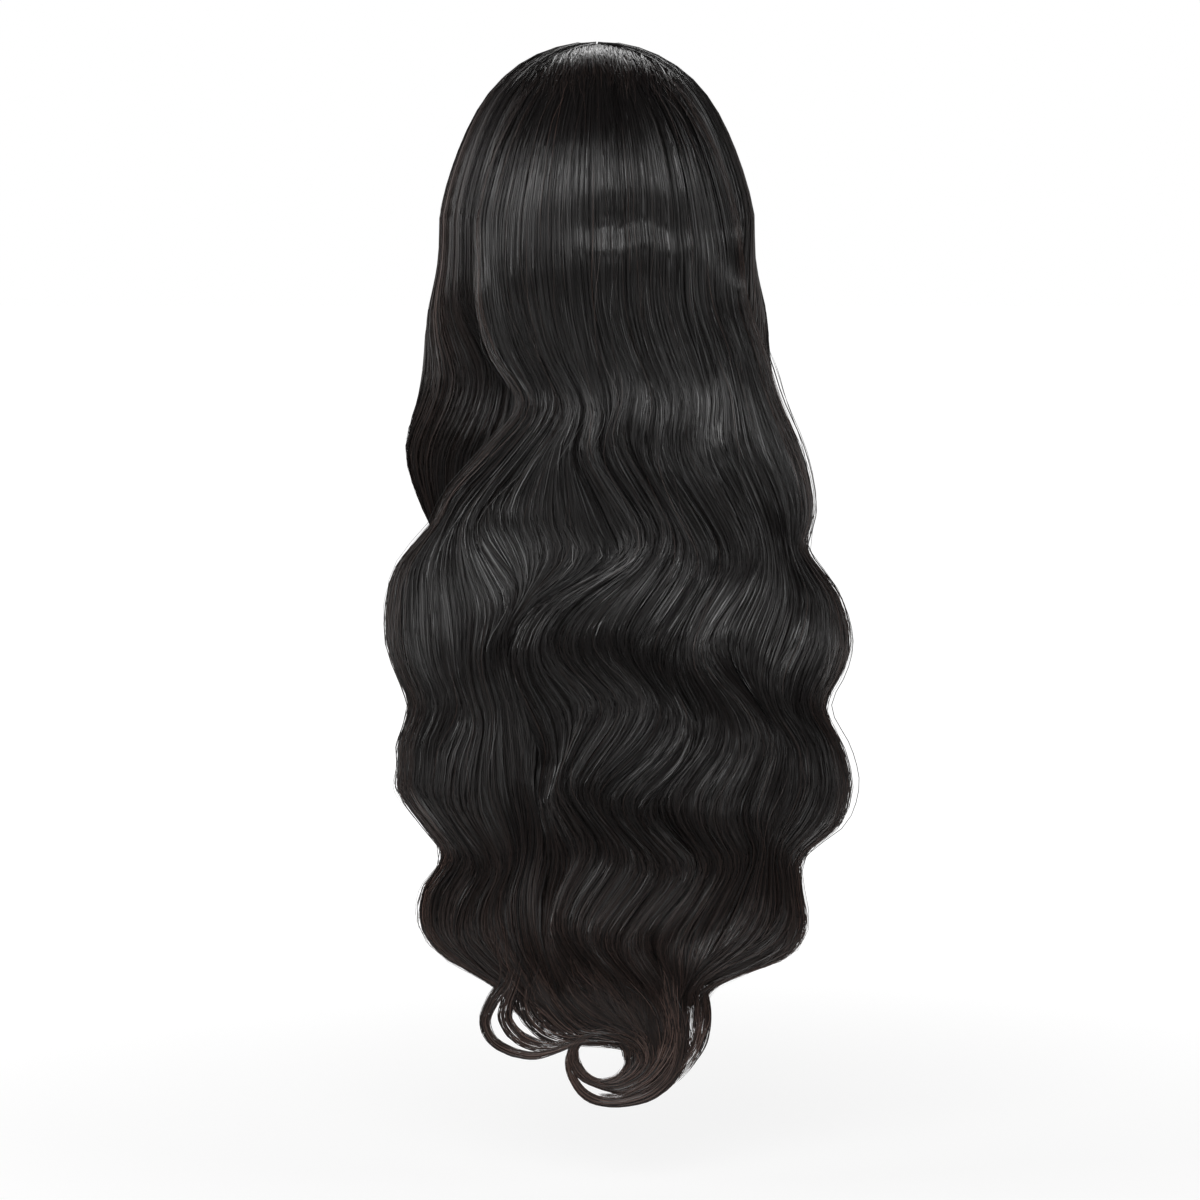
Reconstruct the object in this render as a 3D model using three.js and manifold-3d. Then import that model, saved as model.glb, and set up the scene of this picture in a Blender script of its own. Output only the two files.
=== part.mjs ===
// A long wavy lace closure wig: cap, lace panel, parted front hair and back hair in wavy locks.
// Millimetres. +Z is up, +Y is the way the wearer faces, +X is the wearer's right.
// The origin is the inside of the cap at the top of the head.
import * as THREE from "three";
import Module from "manifold-3d";

const wasm = await Module();
wasm.setup();

// Cap, measured inside
const capHalfWidth = 79;
const capHalfLength = 100;
const capRise = 100; // top of the cap down to its widest level
const capWall = 1.5;
const napeDrop = 150; // top of the cap down to its rim at the nape
const napeTuck = 0.14; // how much narrower the cap is at the nape

// Lace panel
const laceWidth = 100;
const laceLength = 100; // along the parting, back from the front rim

// Hair on the head
const hairOverTop = 8.5;
const hairOverSides = 18.5;
const hairOverBack = 11;
const hairOverFront = 6;
const partingBack = 20; // how far behind the top of the head the parting ends
const frontFringe = 3; // how far the hair stands in front of the rim
const crownRadius = 3; // the back hair starts on a small arc round the end of the parting
const faceAngle = 127; // degrees from the back of the head to the hair's front edge

// Hanging hair
const hangLength = 555; // from the widest level of the head to the tips
const backSpread = 290; // width of the back hair in its waves
const backShift = 13; // the waves hang a little to the wearer's right
const backThickness = 34;
const lockRelief = 7; // depth of the grooves between locks
const waveDepth = 5; // how far a wave swings out and in
const wrapDepth = 26; // how far the side edges of the back hair come forward
const sideThickness = 20;
const sideSwing = 7; // how far the front hair waves to and fro over the chest
const browBow = 6; // how far the hair's front edge rounds forward over the forehead
const edgeThinness = 0.4; // thickness left at the side edges of hanging hair, as a share
const tipThickness = 5;

// Clearance between neighbours, and a wider one measured level across slanting edges
const fitGap = 0.3;
const edgeGap = 0.35;

// Fineness of the solids
const headSteps = 7;
const levelStep = 12.5;
const capSides = 32;
const capSteps = 12;
const rimSpare = 4; // the head's form ends this far below the nape

// Sizes that follow from those above
const widest = -capRise;
const headHalf = capHalfWidth + capWall + hairOverSides;
const topReach = capRise + capWall + hairOverTop;
const backReach = capHalfLength + capWall + hairOverBack;
const frontReach = capHalfLength + capWall + hairOverFront;
const headDepth = hairOverSides + 12; // hair solids start this deep, and the head is cut out of them

const { clamp, lerp, degToRad, smoothstep } = THREE.MathUtils;

function table(columns, rows) {
  return rows.map((row) => Object.fromEntries(columns.map((name, k) => [name, row[k]])));
}

// Rim of the cap: degrees from the back of the head, and depth as a share of napeDrop
const rim = table(["at", "drop"], [
  [0, 1.0],
  [35, 0.97],
  [62, 0.79],
  [80, 0.6],
  [94, 0.57],
  [107, 0.64],
  [121, 0.46],
  [145, 0.31],
  [180, 0.27],
]);

// Lines that the strands of the back hair follow, from its left edge to its right edge:
// fall is a share of hangLength, each line a share of the half width there
const lineNames = ["l0", "l1", "l2", "l3", "l4", "l5", "l6", "l7", "l8", "l9"];
const backLines = table(["at", ...lineNames], [
  [0.0, -0.75, -0.61, -0.47, -0.33, -0.12, 0.08, 0.3, 0.51, 0.68, 0.88],
  [0.092, -0.75, -0.61, -0.46, -0.31, -0.09, 0.09, 0.32, 0.54, 0.73, 0.95],
  [0.148, -0.66, -0.52, -0.37, -0.23, -0.04, 0.14, 0.37, 0.6, 0.8, 0.99],
  [0.204, -0.45, -0.36, -0.24, -0.1, 0.01, 0.2, 0.41, 0.61, 0.77, 0.97],
  [0.254, -0.59, -0.5, -0.39, -0.15, -0.06, 0.1, 0.3, 0.5, 0.73, 0.96],
  [0.305, -0.75, -0.67, -0.56, -0.07, 0.04, 0.17, 0.35, 0.53, 0.74, 0.91],
  [0.338, -0.79, -0.73, -0.61, -0.02, 0.11, 0.23, 0.41, 0.56, 0.74, 0.86],
  [0.366, -0.84, -0.73, -0.55, 0.02, 0.13, 0.25, 0.45, 0.58, 0.73, 0.8],
  [0.394, -0.91, -0.73, -0.47, -0.12, 0.05, 0.21, 0.42, 0.57, 0.74, 0.86],
  [0.424, -0.96, -0.72, -0.41, -0.35, -0.14, 0.14, 0.34, 0.5, 0.78, 0.94],
  [0.472, -0.98, -0.71, -0.5, -0.45, -0.28, 0.04, 0.27, 0.38, 0.74, 0.99],
  [0.506, -0.94, -0.68, -0.49, -0.44, -0.23, 0.09, 0.3, 0.44, 0.67, 0.96],
  [0.545, -0.86, -0.62, -0.45, -0.38, -0.07, 0.21, 0.38, 0.57, 0.67, 0.85],
  [0.589, -0.92, -0.7, -0.43, -0.3, -0.16, 0.14, 0.33, 0.66, 0.78, 0.92],
  [0.64, -0.94, -0.73, -0.41, -0.33, -0.24, -0.08, 0.15, 0.59, 0.81, 0.99],
  [0.679, -0.83, -0.63, -0.38, -0.29, -0.14, 0.0, 0.23, 0.54, 0.74, 0.94],
  [0.712, -0.74, -0.55, -0.38, -0.28, -0.07, 0.12, 0.35, 0.61, 0.67, 0.78],
  [0.751, -0.83, -0.63, -0.42, -0.31, -0.18, 0.02, 0.27, 0.56, 0.69, 0.77],
  [0.796, -0.81, -0.63, -0.4, -0.32, -0.24, -0.09, 0.13, 0.5, 0.68, 0.79],
  [0.83, -0.7, -0.5, -0.36, -0.29, -0.16, 0.01, 0.18, 0.4, 0.54, 0.66],
  [0.857, -0.53, -0.42, -0.33, -0.25, -0.08, 0.09, 0.26, 0.31, 0.35, 0.39],
]);

// Which way each line swings out in a wave, -1 to 1
const lineSwing = [-1, -1, -0.4, 0.9, 1, 1, 1, 0.3, -1, -1];

// Levels where the middle of the back hair swings fully right (0, 2, 4 ..) and left (1, 3, 5 ..)
const waves = table(["at", "turn"], [
  [0.0, -1],
  [0.165, 0],
  [0.254, 1],
  [0.36, 2],
  [0.467, 3],
  [0.545, 4],
  [0.64, 5],
  [0.712, 6],
  [0.796, 7],
  [0.857, 8],
]);

// Back profile: how far out, as a share of backReach, and how thick, of backThickness
const backProfile = table(["at", "out", "thick"], [
  [0.0, 1.0, 0.7],
  [0.1, 1.0, 0.85],
  [0.3, 1.04, 1.0],
  [0.5, 1.09, 1.0],
  [0.65, 1.08, 0.9],
  [0.8, 1.03, 0.6],
  [0.857, 1.0, 0.35],
]);

// Hanging front hair in plan, from rear edge over its middle to its front edge:
// shares of headHalf sideways (x) and forwards (y), and thickness as a share of sideThickness
const sideNames = ["rearX", "rearY", "midX", "midY", "frontX", "frontY", "thick"];
const sideLines = table(["at", ...sideNames], [
  [0.0, 0.76, -0.72, 0.99, -0.05, 0.8, 0.62, 1.0],
  [0.09, 0.72, -0.7, 1.05, -0.08, 0.84, 0.62, 1.0],
  [0.165, 0.5, -0.6, 1.14, -0.1, 0.9, 0.64, 1.0],
  [0.25, 0.5, -0.5, 1.22, 0.05, 0.88, 0.68, 1.0],
  [0.33, 0.66, -0.1, 1.13, 0.3, 0.74, 0.78, 0.95],
  [0.42, 0.86, 0.34, 0.92, 0.62, 0.46, 0.88, 0.9],
  [0.5, 0.94, 0.5, 0.8, 0.72, 0.42, 0.88, 0.85],
  [0.58, 0.92, 0.52, 0.72, 0.74, 0.42, 0.88, 0.75],
  [0.66, 0.82, 0.54, 0.68, 0.74, 0.5, 0.84, 0.5],
  [0.71, 0.7, 0.6, 0.64, 0.72, 0.56, 0.78, 0.25],
]);

// Tips of the back hair, each drawn along its own path:
// fall of hangLength, place across as a share of half the spread, half width in thousandths of hangLength
const tips = {
  curl: table(["at", "across", "half"], [
    [0.824, -0.077, 50.5],
    [0.857, 0.09, 45],
    [0.891, 0.163, 37],
    [0.928, 0.171, 29.7],
    [0.958, 0.12, 21.6],
    [0.976, 0.017, 13.5],
    [0.979, -0.077, 9.9],
    [0.97, -0.154, 7.2],
    [0.951, -0.2, 5.4],
    [0.933, -0.205, 4.7],
    [0.92, -0.18, 4],
  ]),
  curlRoot: table(["at", "across", "half"], [
    [0.807, -0.22, 21.6],
    [0.857, -0.22, 23.4],
    [0.888, -0.15, 19.8],
    [0.906, -0.013, 14.4],
    [0.915, 0.1, 10.8],
  ]),
  leftTip: table(["at", "across", "half"], [
    [0.825, -0.46, 12.6],
    [0.874, -0.53, 5.8],
    [0.897, -0.572, 5],
    [0.918, -0.547, 4.7],
    [0.932, -0.47, 4.7],
    [0.938, -0.38, 4.3],
    [0.934, -0.3, 4],
  ]),
  leftInnerTip: table(["at", "across", "half"], [
    [0.83, -0.39, 10.8],
    [0.88, -0.45, 6.8],
    [0.906, -0.445, 5.8],
    [0.919, -0.38, 5],
    [0.919, -0.32, 4.3],
  ]),
  rightTip: table(["at", "across", "half"], [
    [0.815, 0.35, 10.8],
    [0.857, 0.372, 6.1],
    [0.885, 0.385, 5.4],
    [0.91, 0.376, 4.7],
    [0.932, 0.342, 4],
  ]),
};

// Smooth value of one column of a table at a place along it
function valueAt(rows, column, at) {
  const last = rows.length - 1;
  let i = 0;
  while (i < last - 1 && rows[i + 1].at <= at) i += 1;
  const slope = (k) => {
    const before = rows[Math.max(k - 1, 0)];
    const after = rows[Math.min(k + 1, last)];
    return (after[column] - before[column]) / (after.at - before.at);
  };
  const span = rows[i + 1].at - rows[i].at;
  const t = clamp((at - rows[i].at) / span, 0, 1);
  const ends = (2 * t ** 3 - 3 * t ** 2 + 1) * rows[i][column] + (3 * t ** 2 - 2 * t ** 3) * rows[i + 1][column];
  const bends = (t ** 3 - 2 * t ** 2 + t) * slope(i) + (t ** 3 - t ** 2) * slope(i + 1);
  return ends + bends * span;
}

// Closed solid through sections; each section is an outer and an inner row of points
function throughSections(sections) {
  const rings = sections.map(({ outer, inner }) => [...outer, ...[...inner].reverse()]);
  const count = rings[0].length;
  const faces = [];
  for (let r = 0; r + 1 < rings.length; r += 1) {
    for (let p = 0; p < count; p += 1) {
      const here = r * count + p;
      const next = r * count + ((p + 1) % count);
      faces.push([here, next, next + count], [here, next + count, here + count]);
    }
  }
  const first = endFaces(sections[0], 0, count).map((face) => face.reverse());
  const final = endFaces(sections[sections.length - 1], (rings.length - 1) * count, count);
  return solidOf(rings.flat(), [...faces, ...first, ...final]);
}

// Triangles between the outer and the inner row of one end section
function endFaces({ outer, inner }, start, count) {
  const faces = [];
  const innerIndex = (j) => start + count - 1 - j;
  let i = 0;
  let j = 0;
  while (i < outer.length - 1 || j < inner.length - 1) {
    const outerNext = (i + 1) / (outer.length - 1);
    const innerNext = (j + 1) / (inner.length - 1);
    if (j === inner.length - 1 || (i < outer.length - 1 && outerNext <= innerNext)) {
      faces.push([start + i, start + i + 1, innerIndex(j)]);
      i += 1;
    } else {
      faces.push([innerIndex(j + 1), innerIndex(j), start + i]);
      j += 1;
    }
  }
  return faces;
}

function solidOf(points, faces) {
  const volume = faces.reduce(
    (sum, [a, b, c]) => sum + points[a].dot(new THREE.Vector3().crossVectors(points[b], points[c])),
    0,
  );
  const outward = volume < 0 ? faces.map(([a, b, c]) => [a, c, b]) : faces;
  const vertProperties = new Float32Array(points.flatMap((p) => [p.x, p.y, p.z]));
  const triVerts = new Uint32Array(outward.flat());
  return new wasm.Manifold(new wasm.Mesh({ numProp: 3, vertProperties, triVerts }));
}

function largestPiece(solid) {
  return solid.decompose().reduce((best, piece) => (piece.volume() > best.volume() ? piece : best));
}

function meshOf(name, solid, material) {
  const { vertProperties, triVerts } = largestPiece(solid).getMesh();
  const geometry = new THREE.BufferGeometry();
  geometry.setAttribute("position", new THREE.BufferAttribute(new Float32Array(vertProperties), 3));
  geometry.setIndex(new THREE.BufferAttribute(new Uint32Array(triVerts), 1));
  const mesh = new THREE.Mesh(geometry, material);
  mesh.name = name;
  return mesh;
}

// Point of the head's form: angle is from the back of the head, turn from its top, past a right angle below
function headPoint(angle, turn, grow) {
  const a = degToRad(angle);
  const over = Math.sin(Math.min(turn, Math.PI / 2));
  const below = Math.max(turn - Math.PI / 2, 0) * capRise;
  const tuck = 1 - napeTuck * (below / (napeDrop - capRise)) ** 2;
  const width = (capHalfWidth + grow) * over * tuck;
  const length = (capHalfLength + grow) * over * tuck;
  const height = (capRise + grow) * Math.cos(Math.min(turn, Math.PI / 2)) - below;
  return new THREE.Vector3(width * Math.sin(a), -length * Math.cos(a), widest + height);
}

function turnAtDrop(drop) {
  return drop <= capRise ? Math.acos(1 - drop / capRise) : Math.PI / 2 + (drop - capRise) / capRise;
}

function ringOf(pointAt) {
  const points = Array.from({ length: capSides }, (_, k) => pointAt((k * 360) / capSides - 180));
  return { outer: points.slice(0, capSides / 2), inner: points.slice(capSides / 2).reverse() };
}

// The head's form down to just below the nape, filled, and larger by grow
function headForm(grow) {
  const lowest = turnAtDrop(napeDrop + rimSpare);
  const turns = Array.from({ length: capSteps }, (_, k) => (lowest * (k + 0.3)) / (capSteps - 0.7));
  return throughSections(turns.map((turn) => ringOf((angle) => headPoint(angle, turn, grow))));
}

// All that lies below the cap's rim
function belowRim() {
  const rimAt = (angle) => -napeDrop * valueAt(rim, "drop", Math.abs(angle));
  const floor = -2 * napeDrop;
  const ring = (radius, heightAt) =>
    ringOf((angle) => {
      const a = degToRad(angle);
      return new THREE.Vector3(radius * Math.sin(a), -radius * Math.cos(a), heightAt(angle));
    });
  const near = capHalfWidth / 10;
  const far = capHalfLength * 2;
  return throughSections([ring(near, rimAt), ring(far, rimAt), ring(far, () => floor), ring(near, () => floor)]);
}

// Tall box over the lace panel
function laceBlock(grow) {
  const frontTurn = turnAtDrop(napeDrop * rim[rim.length - 1].drop);
  const back = capRise * frontTurn - laceLength - grow;
  const front = 2 * capHalfLength;
  const half = laceWidth / 2 + grow;
  const level = (z) => ({
    outer: [new THREE.Vector3(-half, back, z), new THREE.Vector3(half, back, z)],
    inner: [new THREE.Vector3(-half, front, z), new THREE.Vector3(half, front, z)],
  });
  return throughSections([level(widest), level(2 * capWall + hairOverTop)]);
}

function onHead(x, y) {
  const reach = y < 0 ? backReach : frontReach;
  const left = 1 - (x / headHalf) ** 2 - (y / reach) ** 2;
  return new THREE.Vector3(x, y, widest + topReach * Math.sqrt(Math.max(left, 0)));
}

function towardsHead(point) {
  return new THREE.Vector3(0, 0, widest).sub(point).normalize();
}

// Value of a per-line list between two lines
function betweenLines(values, place) {
  const k = clamp(Math.floor(place), 0, values.length - 2);
  return lerp(values[k], values[k + 1], place - k);
}

// Point of the hanging back hair's outer face, and the way to its inner face
function backHanging(place, fall, shift) {
  const spreading = smoothstep(fall, 0.1, 0.4);
  const half = lerp(headHalf, backSpread / 2, spreading);
  const centre = backShift * spreading;
  const shares = lineNames.map((name) => valueAt(backLines, name, fall));
  const x = centre + betweenLines(shares, place) * half + shift;
  const round = -backReach * Math.sqrt(Math.max(1 - (x / headHalf) ** 2, 0.05));
  const hanging = -backReach * valueAt(backProfile, "out", fall) + wrapDepth * ((x - centre) / half) ** 2;
  const groove = Math.abs(2 * (place - Math.floor(place)) - 1) ** 4;
  const swing = betweenLines(lineSwing, place) * Math.cos(Math.PI * valueAt(waves, "turn", fall));
  const relief = smoothstep(fall, 0.05, 0.3) * (waveDepth * swing + lockRelief * groove);
  const y = lerp(round, hanging, smoothstep(fall, 0, 0.22)) + relief;
  const point = new THREE.Vector3(x, y, widest - fall * hangLength);
  const plainIn = new THREE.Vector3(0, 1, 0);
  const inwards = new THREE.Vector3(-x, -y, 0).normalize().lerp(plainIn, smoothstep(fall, 0, 0.15)).normalize();
  const fromEdge = Math.min(place, lineNames.length - 1 - place);
  const rounding = lerp(1, lerp(edgeThinness, 1, smoothstep(fromEdge, 0, 1.5)), smoothstep(fall, 0.1, 0.3));
  const thick = backThickness * valueAt(backProfile, "thick", fall) * rounding;
  return { point, inwards, depth: lerp(headDepth, thick, smoothstep(fall, 0, 0.1)) };
}

// The same on the head: share 0 is the crown and 1 the widest level
function backOnHead(place, share, shift) {
  const low = backHanging(place, 0, shift).point;
  const along = Math.sin((share * Math.PI) / 2);
  const rootShare = low.x / headHalf;
  const rootX = crownRadius * rootShare + shift;
  const rootY = -partingBack - crownRadius * Math.sqrt(1 - rootShare ** 2);
  const point = onHead(lerp(rootX, low.x, along), lerp(rootY, low.y, along));
  return { point, inwards: towardsHead(point), depth: headDepth };
}

function facePair(faces, grow) {
  return {
    outer: faces.map(({ point, inwards }) => point.clone().addScaledVector(inwards, -grow)),
    inner: faces
      .filter((_, k) => k % 4 === 0)
      .map(({ point, inwards, depth }) => point.clone().addScaledVector(inwards, depth + grow)),
  };
}

// Back hair between two of its lines; grow makes a slightly larger copy to cut neighbours with
function backGroup(fromLine, toLine, grow = 0) {
  const places = [fromLine];
  for (let line = fromLine; line < toLine; line += 1) {
    places.push(line + 0.15, line + 0.5, line + 0.85, line + 1);
  }
  const shiftAt = (place) => {
    if (place === fromLine) return edgeGap - 2 * grow;
    return place === toLine ? 2 * grow - edgeGap : 0;
  };
  const endPlace = (place) => (place === toLine ? place - 1e-6 : place);
  const sectionAt = (faceAt) => facePair(places.map((place) => faceAt(endPlace(place), shiftAt(place))), grow);
  const sections = [];
  for (let k = 0; k < headSteps; k += 1) {
    sections.push(sectionAt((place, shift) => backOnHead(place, k / headSteps, shift)));
  }
  const lowest = backLines[backLines.length - 1].at;
  const levels = Math.round((lowest * hangLength) / levelStep);
  for (let k = 0; k <= levels; k += 1) {
    sections.push(sectionAt((place, shift) => backHanging(place, (lowest * k) / levels, shift)));
  }
  return throughSections(sections);
}

// One tip, drawn along its path in an upright plane through the back hair
function tipSolid(rows, pieces, grow = 0) {
  const path = rows.map(
    ({ at, across }) => new THREE.Vector3(backShift + (across * backSpread) / 2, 0, widest - at * hangLength),
  );
  const curve = new THREE.CatmullRomCurve3(path, false, "centripetal");
  const sections = [];
  for (let k = 0; k <= pieces; k += 1) {
    const t = k / pieces;
    const centre = curve.getPoint(t);
    const forward = curve.getTangent(t);
    const across = new THREE.Vector3(-forward.z, 0, forward.x);
    const row = t * (rows.length - 1);
    const bare = (betweenLines(rows.map((r) => r.half), row) * hangLength) / 1000;
    const half = bare + grow;
    const depth = Math.min(bare, tipThickness + bare / 4) + grow;
    const fall = (widest - centre.z) / hangLength;
    const y = -backReach * valueAt(backProfile, "out", fall) + depth - grow;
    const around = (degrees) => {
      const a = degToRad(degrees);
      return new THREE.Vector3(centre.x, y - depth * Math.sin(a), centre.z).addScaledVector(across, half * Math.cos(a));
    };
    sections.push({ outer: [157, 112, 68, 23].map(around), inner: [202, 248, 292, 337].map(around) });
  }
  return throughSections(sections);
}

// Front hair on one side of the parting, side is -1 or 1; t runs from its rear to its front edge
function sideOnHead(side, t, share) {
  const frontTurn = turnAtDrop(napeDrop * rim[rim.length - 1].drop);
  const rootFront = (capHalfLength + capWall) * Math.sin(frontTurn) + frontFringe;
  const low = sideLow(side, t);
  const along = Math.sin((share * Math.PI) / 2);
  const rootX = side * fitGap;
  const bow = browBow * t ** 4 * Math.sin(Math.PI * along);
  const point = onHead(lerp(rootX, low.x, along), lerp(lerp(-partingBack, rootFront, t), low.y, along) + bow);
  return { point, inwards: towardsHead(point), depth: headDepth };
}

function sideLow(side, t) {
  const edge = side < 0 ? -backLines[0].l0 : backLines[0].l9;
  const rearAngle = Math.asin(edge) + edgeGap / headHalf;
  const angle = lerp(rearAngle, degToRad(faceAngle), t);
  const reach = Math.cos(angle) > 0 ? backReach : frontReach;
  return new THREE.Vector3(side * headHalf * Math.sin(angle), -reach * Math.cos(angle), widest);
}

function sideHanging(side, t, fall) {
  const value = (name) => headHalf * valueAt(sideLines, name, fall);
  const through = (rear, mid, front, s) =>
    rear * (1 - s) * (1 - 2 * s) + mid * 4 * s * (1 - s) + front * s * (2 * s - 1);
  const swing = sideSwing * smoothstep(fall, 0.25, 0.45) * Math.cos(Math.PI * valueAt(waves, "turn", fall));
  const planAt = (s) => {
    const hung = new THREE.Vector3(
      side * (through(value("rearX"), value("midX"), value("frontX"), s) + swing),
      through(value("rearY"), value("midY"), value("frontY"), s),
      0,
    );
    const low = sideLow(side, s);
    return low.setZ(0).lerp(hung, smoothstep(fall, 0, 0.14));
  };
  const point = planAt(t).setZ(widest - fall * hangLength);
  const run = planAt(t + 0.01).sub(planAt(t - 0.01)).normalize();
  const inwards = new THREE.Vector3(-run.y, run.x, 0).multiplyScalar(side);
  const rounding = lerp(1, edgeThinness, Math.abs(2 * t - 1) ** 3);
  const thick = sideThickness * valueAt(sideLines, "thick", fall) * rounding;
  const radial = new THREE.Vector3(-point.x, -point.y, 0).normalize();
  return {
    point,
    inwards: radial.lerp(inwards, smoothstep(fall, 0, 0.14)).normalize(),
    depth: lerp(headDepth, thick, smoothstep(fall, 0, 0.12)),
  };
}

function frontHair(side) {
  const across = Array.from({ length: 9 }, (_, k) => k / 8);
  const sections = [];
  for (let k = 0; k < headSteps; k += 1) {
    sections.push(facePair(across.map((t) => sideOnHead(side, t, k / headSteps)), 0));
  }
  const lowest = sideLines[sideLines.length - 1].at;
  const levels = Math.round((lowest * hangLength) / levelStep);
  for (let k = 0; k <= levels; k += 1) {
    sections.push(facePair(across.map((t) => sideHanging(side, t, (lowest * k) / levels)), 0));
  }
  return throughSections(sections);
}

// Materials
const hairMaterial = new THREE.MeshStandardMaterial({ color: 0x17120f, roughness: 0.4, metalness: 0 });
const capMaterial = new THREE.MeshStandardMaterial({ color: 0x141313, roughness: 0.85, metalness: 0 });
const laceMaterial = new THREE.MeshStandardMaterial({ color: 0x8a6a52, roughness: 0.8, metalness: 0 });

// Cap and lace panel
const shell = headForm(capWall).subtract(headForm(0)).subtract(belowRim());
const cap = shell.subtract(laceBlock(fitGap));
const lace = shell.intersect(laceBlock(0));

// Hair, each group laid round the head form
const head = headForm(capWall + fitGap);
const backLeft = backGroup(0, 3).add(tipSolid(tips.leftTip, 14)).add(tipSolid(tips.leftInnerTip, 9));
const middleWith = (grow) =>
  backGroup(3, 6, grow).add(tipSolid(tips.curl, 20, grow)).add(tipSolid(tips.curlRoot, 9, grow));
const backRight = backGroup(6, 9).add(tipSolid(tips.rightTip, 9));
const backCutter = backGroup(0, 9, fitGap);

const group = new THREE.Group();
group.add(
  meshOf("wig_cap", cap, capMaterial),
  meshOf("lace_closure", lace, laceMaterial),
  meshOf("front_hair_left", frontHair(-1).subtract(head).subtract(backCutter), hairMaterial),
  meshOf("front_hair_right", frontHair(1).subtract(head).subtract(backCutter), hairMaterial),
  meshOf("back_hair_middle", middleWith(0).subtract(head), hairMaterial),
  meshOf("back_hair_left", backLeft.subtract(head).subtract(middleWith(fitGap)), hairMaterial),
  meshOf("back_hair_right", backRight.subtract(head).subtract(middleWith(fitGap)), hairMaterial),
);

export default group;
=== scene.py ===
"""Looks of a long wavy lace closure wig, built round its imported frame."""

import math

import bpy
import numpy as np
from bpy.props import FloatProperty, FloatVectorProperty, IntProperty, PointerProperty
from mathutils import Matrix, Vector


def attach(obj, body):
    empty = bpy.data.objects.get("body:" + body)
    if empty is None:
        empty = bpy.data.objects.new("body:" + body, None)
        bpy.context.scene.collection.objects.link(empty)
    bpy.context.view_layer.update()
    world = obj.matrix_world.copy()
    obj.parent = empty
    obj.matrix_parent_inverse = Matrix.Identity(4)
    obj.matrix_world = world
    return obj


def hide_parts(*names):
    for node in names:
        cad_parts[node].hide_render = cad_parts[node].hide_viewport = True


bl_info = {
    "name": "Wavy wig",
    "version": (1, 0, 0),
    "blender": (4, 5, 0),
    "location": "View3D > Sidebar > Wig",
    "description": "Builds the hair, cap, lace and studio of a long wavy wig",
    "category": "Add Mesh",
}

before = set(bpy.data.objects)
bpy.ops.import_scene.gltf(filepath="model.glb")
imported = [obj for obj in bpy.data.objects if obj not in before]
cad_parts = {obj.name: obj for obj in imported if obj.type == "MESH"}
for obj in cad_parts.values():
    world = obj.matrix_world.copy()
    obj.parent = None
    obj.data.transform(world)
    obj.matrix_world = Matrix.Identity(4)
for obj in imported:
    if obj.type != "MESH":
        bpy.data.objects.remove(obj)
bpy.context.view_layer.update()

MM = 0.001

# Sizes in metres, as in the solids where those have them
CAP_RISE = 0.100  # from the top of the head down to its widest level
WIDEST = -CAP_RISE
HEAD_HALF = 0.099  # half width of the hair's surface at the widest level
BACK_REACH = 0.1125  # how far back that surface reaches there
FRONT_REACH = 0.1075  # how far forwards
TOP_REACH = 0.110  # how far above the widest level
HEAD_SLIMMING = 0.05  # how much slimmer than an oval it is above that level, as a share
HEAD_ARC = 0.160  # length of a strand from the crown to the widest level
PARTING_BACK = 0.020  # rear end of the parting, behind the top of the head
ROOT_FRONT = 0.084  # front end of the parting
PARTING_GAP = 0.0006  # half the gap between the hair of the two sides
PARTING_DEPTH, PARTING_WIDTH = 0.0065, 0.006  # how deep and wide the hair dips beside it
CROWN_RADIUS = 0.003  # ring behind the parting where the back hair starts
FACE_ANGLE = 127  # degrees from the back of the head round to the edge beside the face
REAR_EDGE = {-1: 0.75, 1: 0.88}  # where the front hair meets the back hair, as a share of HEAD_HALF
EDGE_GAP = 0.00035  # gap between the two there
SEAM_DEPTH = 0.0034  # crease along it
SEAM_BACK_WIDTH, SEAM_FRONT_WIDTH = 0.16, 0.025  # its widths, in places and as a share of the front hair
BROW_BOW = 0.006  # how far the front edge bows forwards over the brow
HANG = 0.555  # length below the widest level that the table of falls counts in
BACK_SPREAD = 0.290  # width of the hanging back hair
BACK_SHIFT = 0.013  # how far right its middle lies
BACK_THICKNESS = 0.034
BACK_HEAD_THICKNESS = 0.008
WRAP_DEPTH = 0.026  # how far its edges come forwards, low down
TOP_WRAP_DEPTH = 0.038  # the same, high up
TUCK_DEPTH = 0.005  # how far the left locks draw in behind the front hair
LINE_ROUNDING = 0.016  # length over which the turns of the lines are rounded, as a share of HANG
SIDE_THICKNESS = 0.020
SIDE_HEAD_THICKNESS = 0.007
SIDE_SWING = 0.007  # how far the front hair's waves swing sideways
SIDE_WAVE_DEPTH = 0.0045  # how far they swing out and in
EDGE_THINNESS = 0.4  # thickness at an edge of the hair, as a share of that in the middle
BACK_BODY_END = 0.857  # fall where the closed bodies of the back hair end
FRONT_BODY_END = 0.7  # fall where those of the front hair end
BODY_SINK = 0.0012  # how far the closed bodies lie under their strands

# A place counts the ten lines of the back hair, from 0 at its left edge to 9 at its right edge
LAST_LINE = 9
BACK_GROUPS = [("left", 0, 3), ("middle", 3, 6), ("right", 6, 9)]

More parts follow.
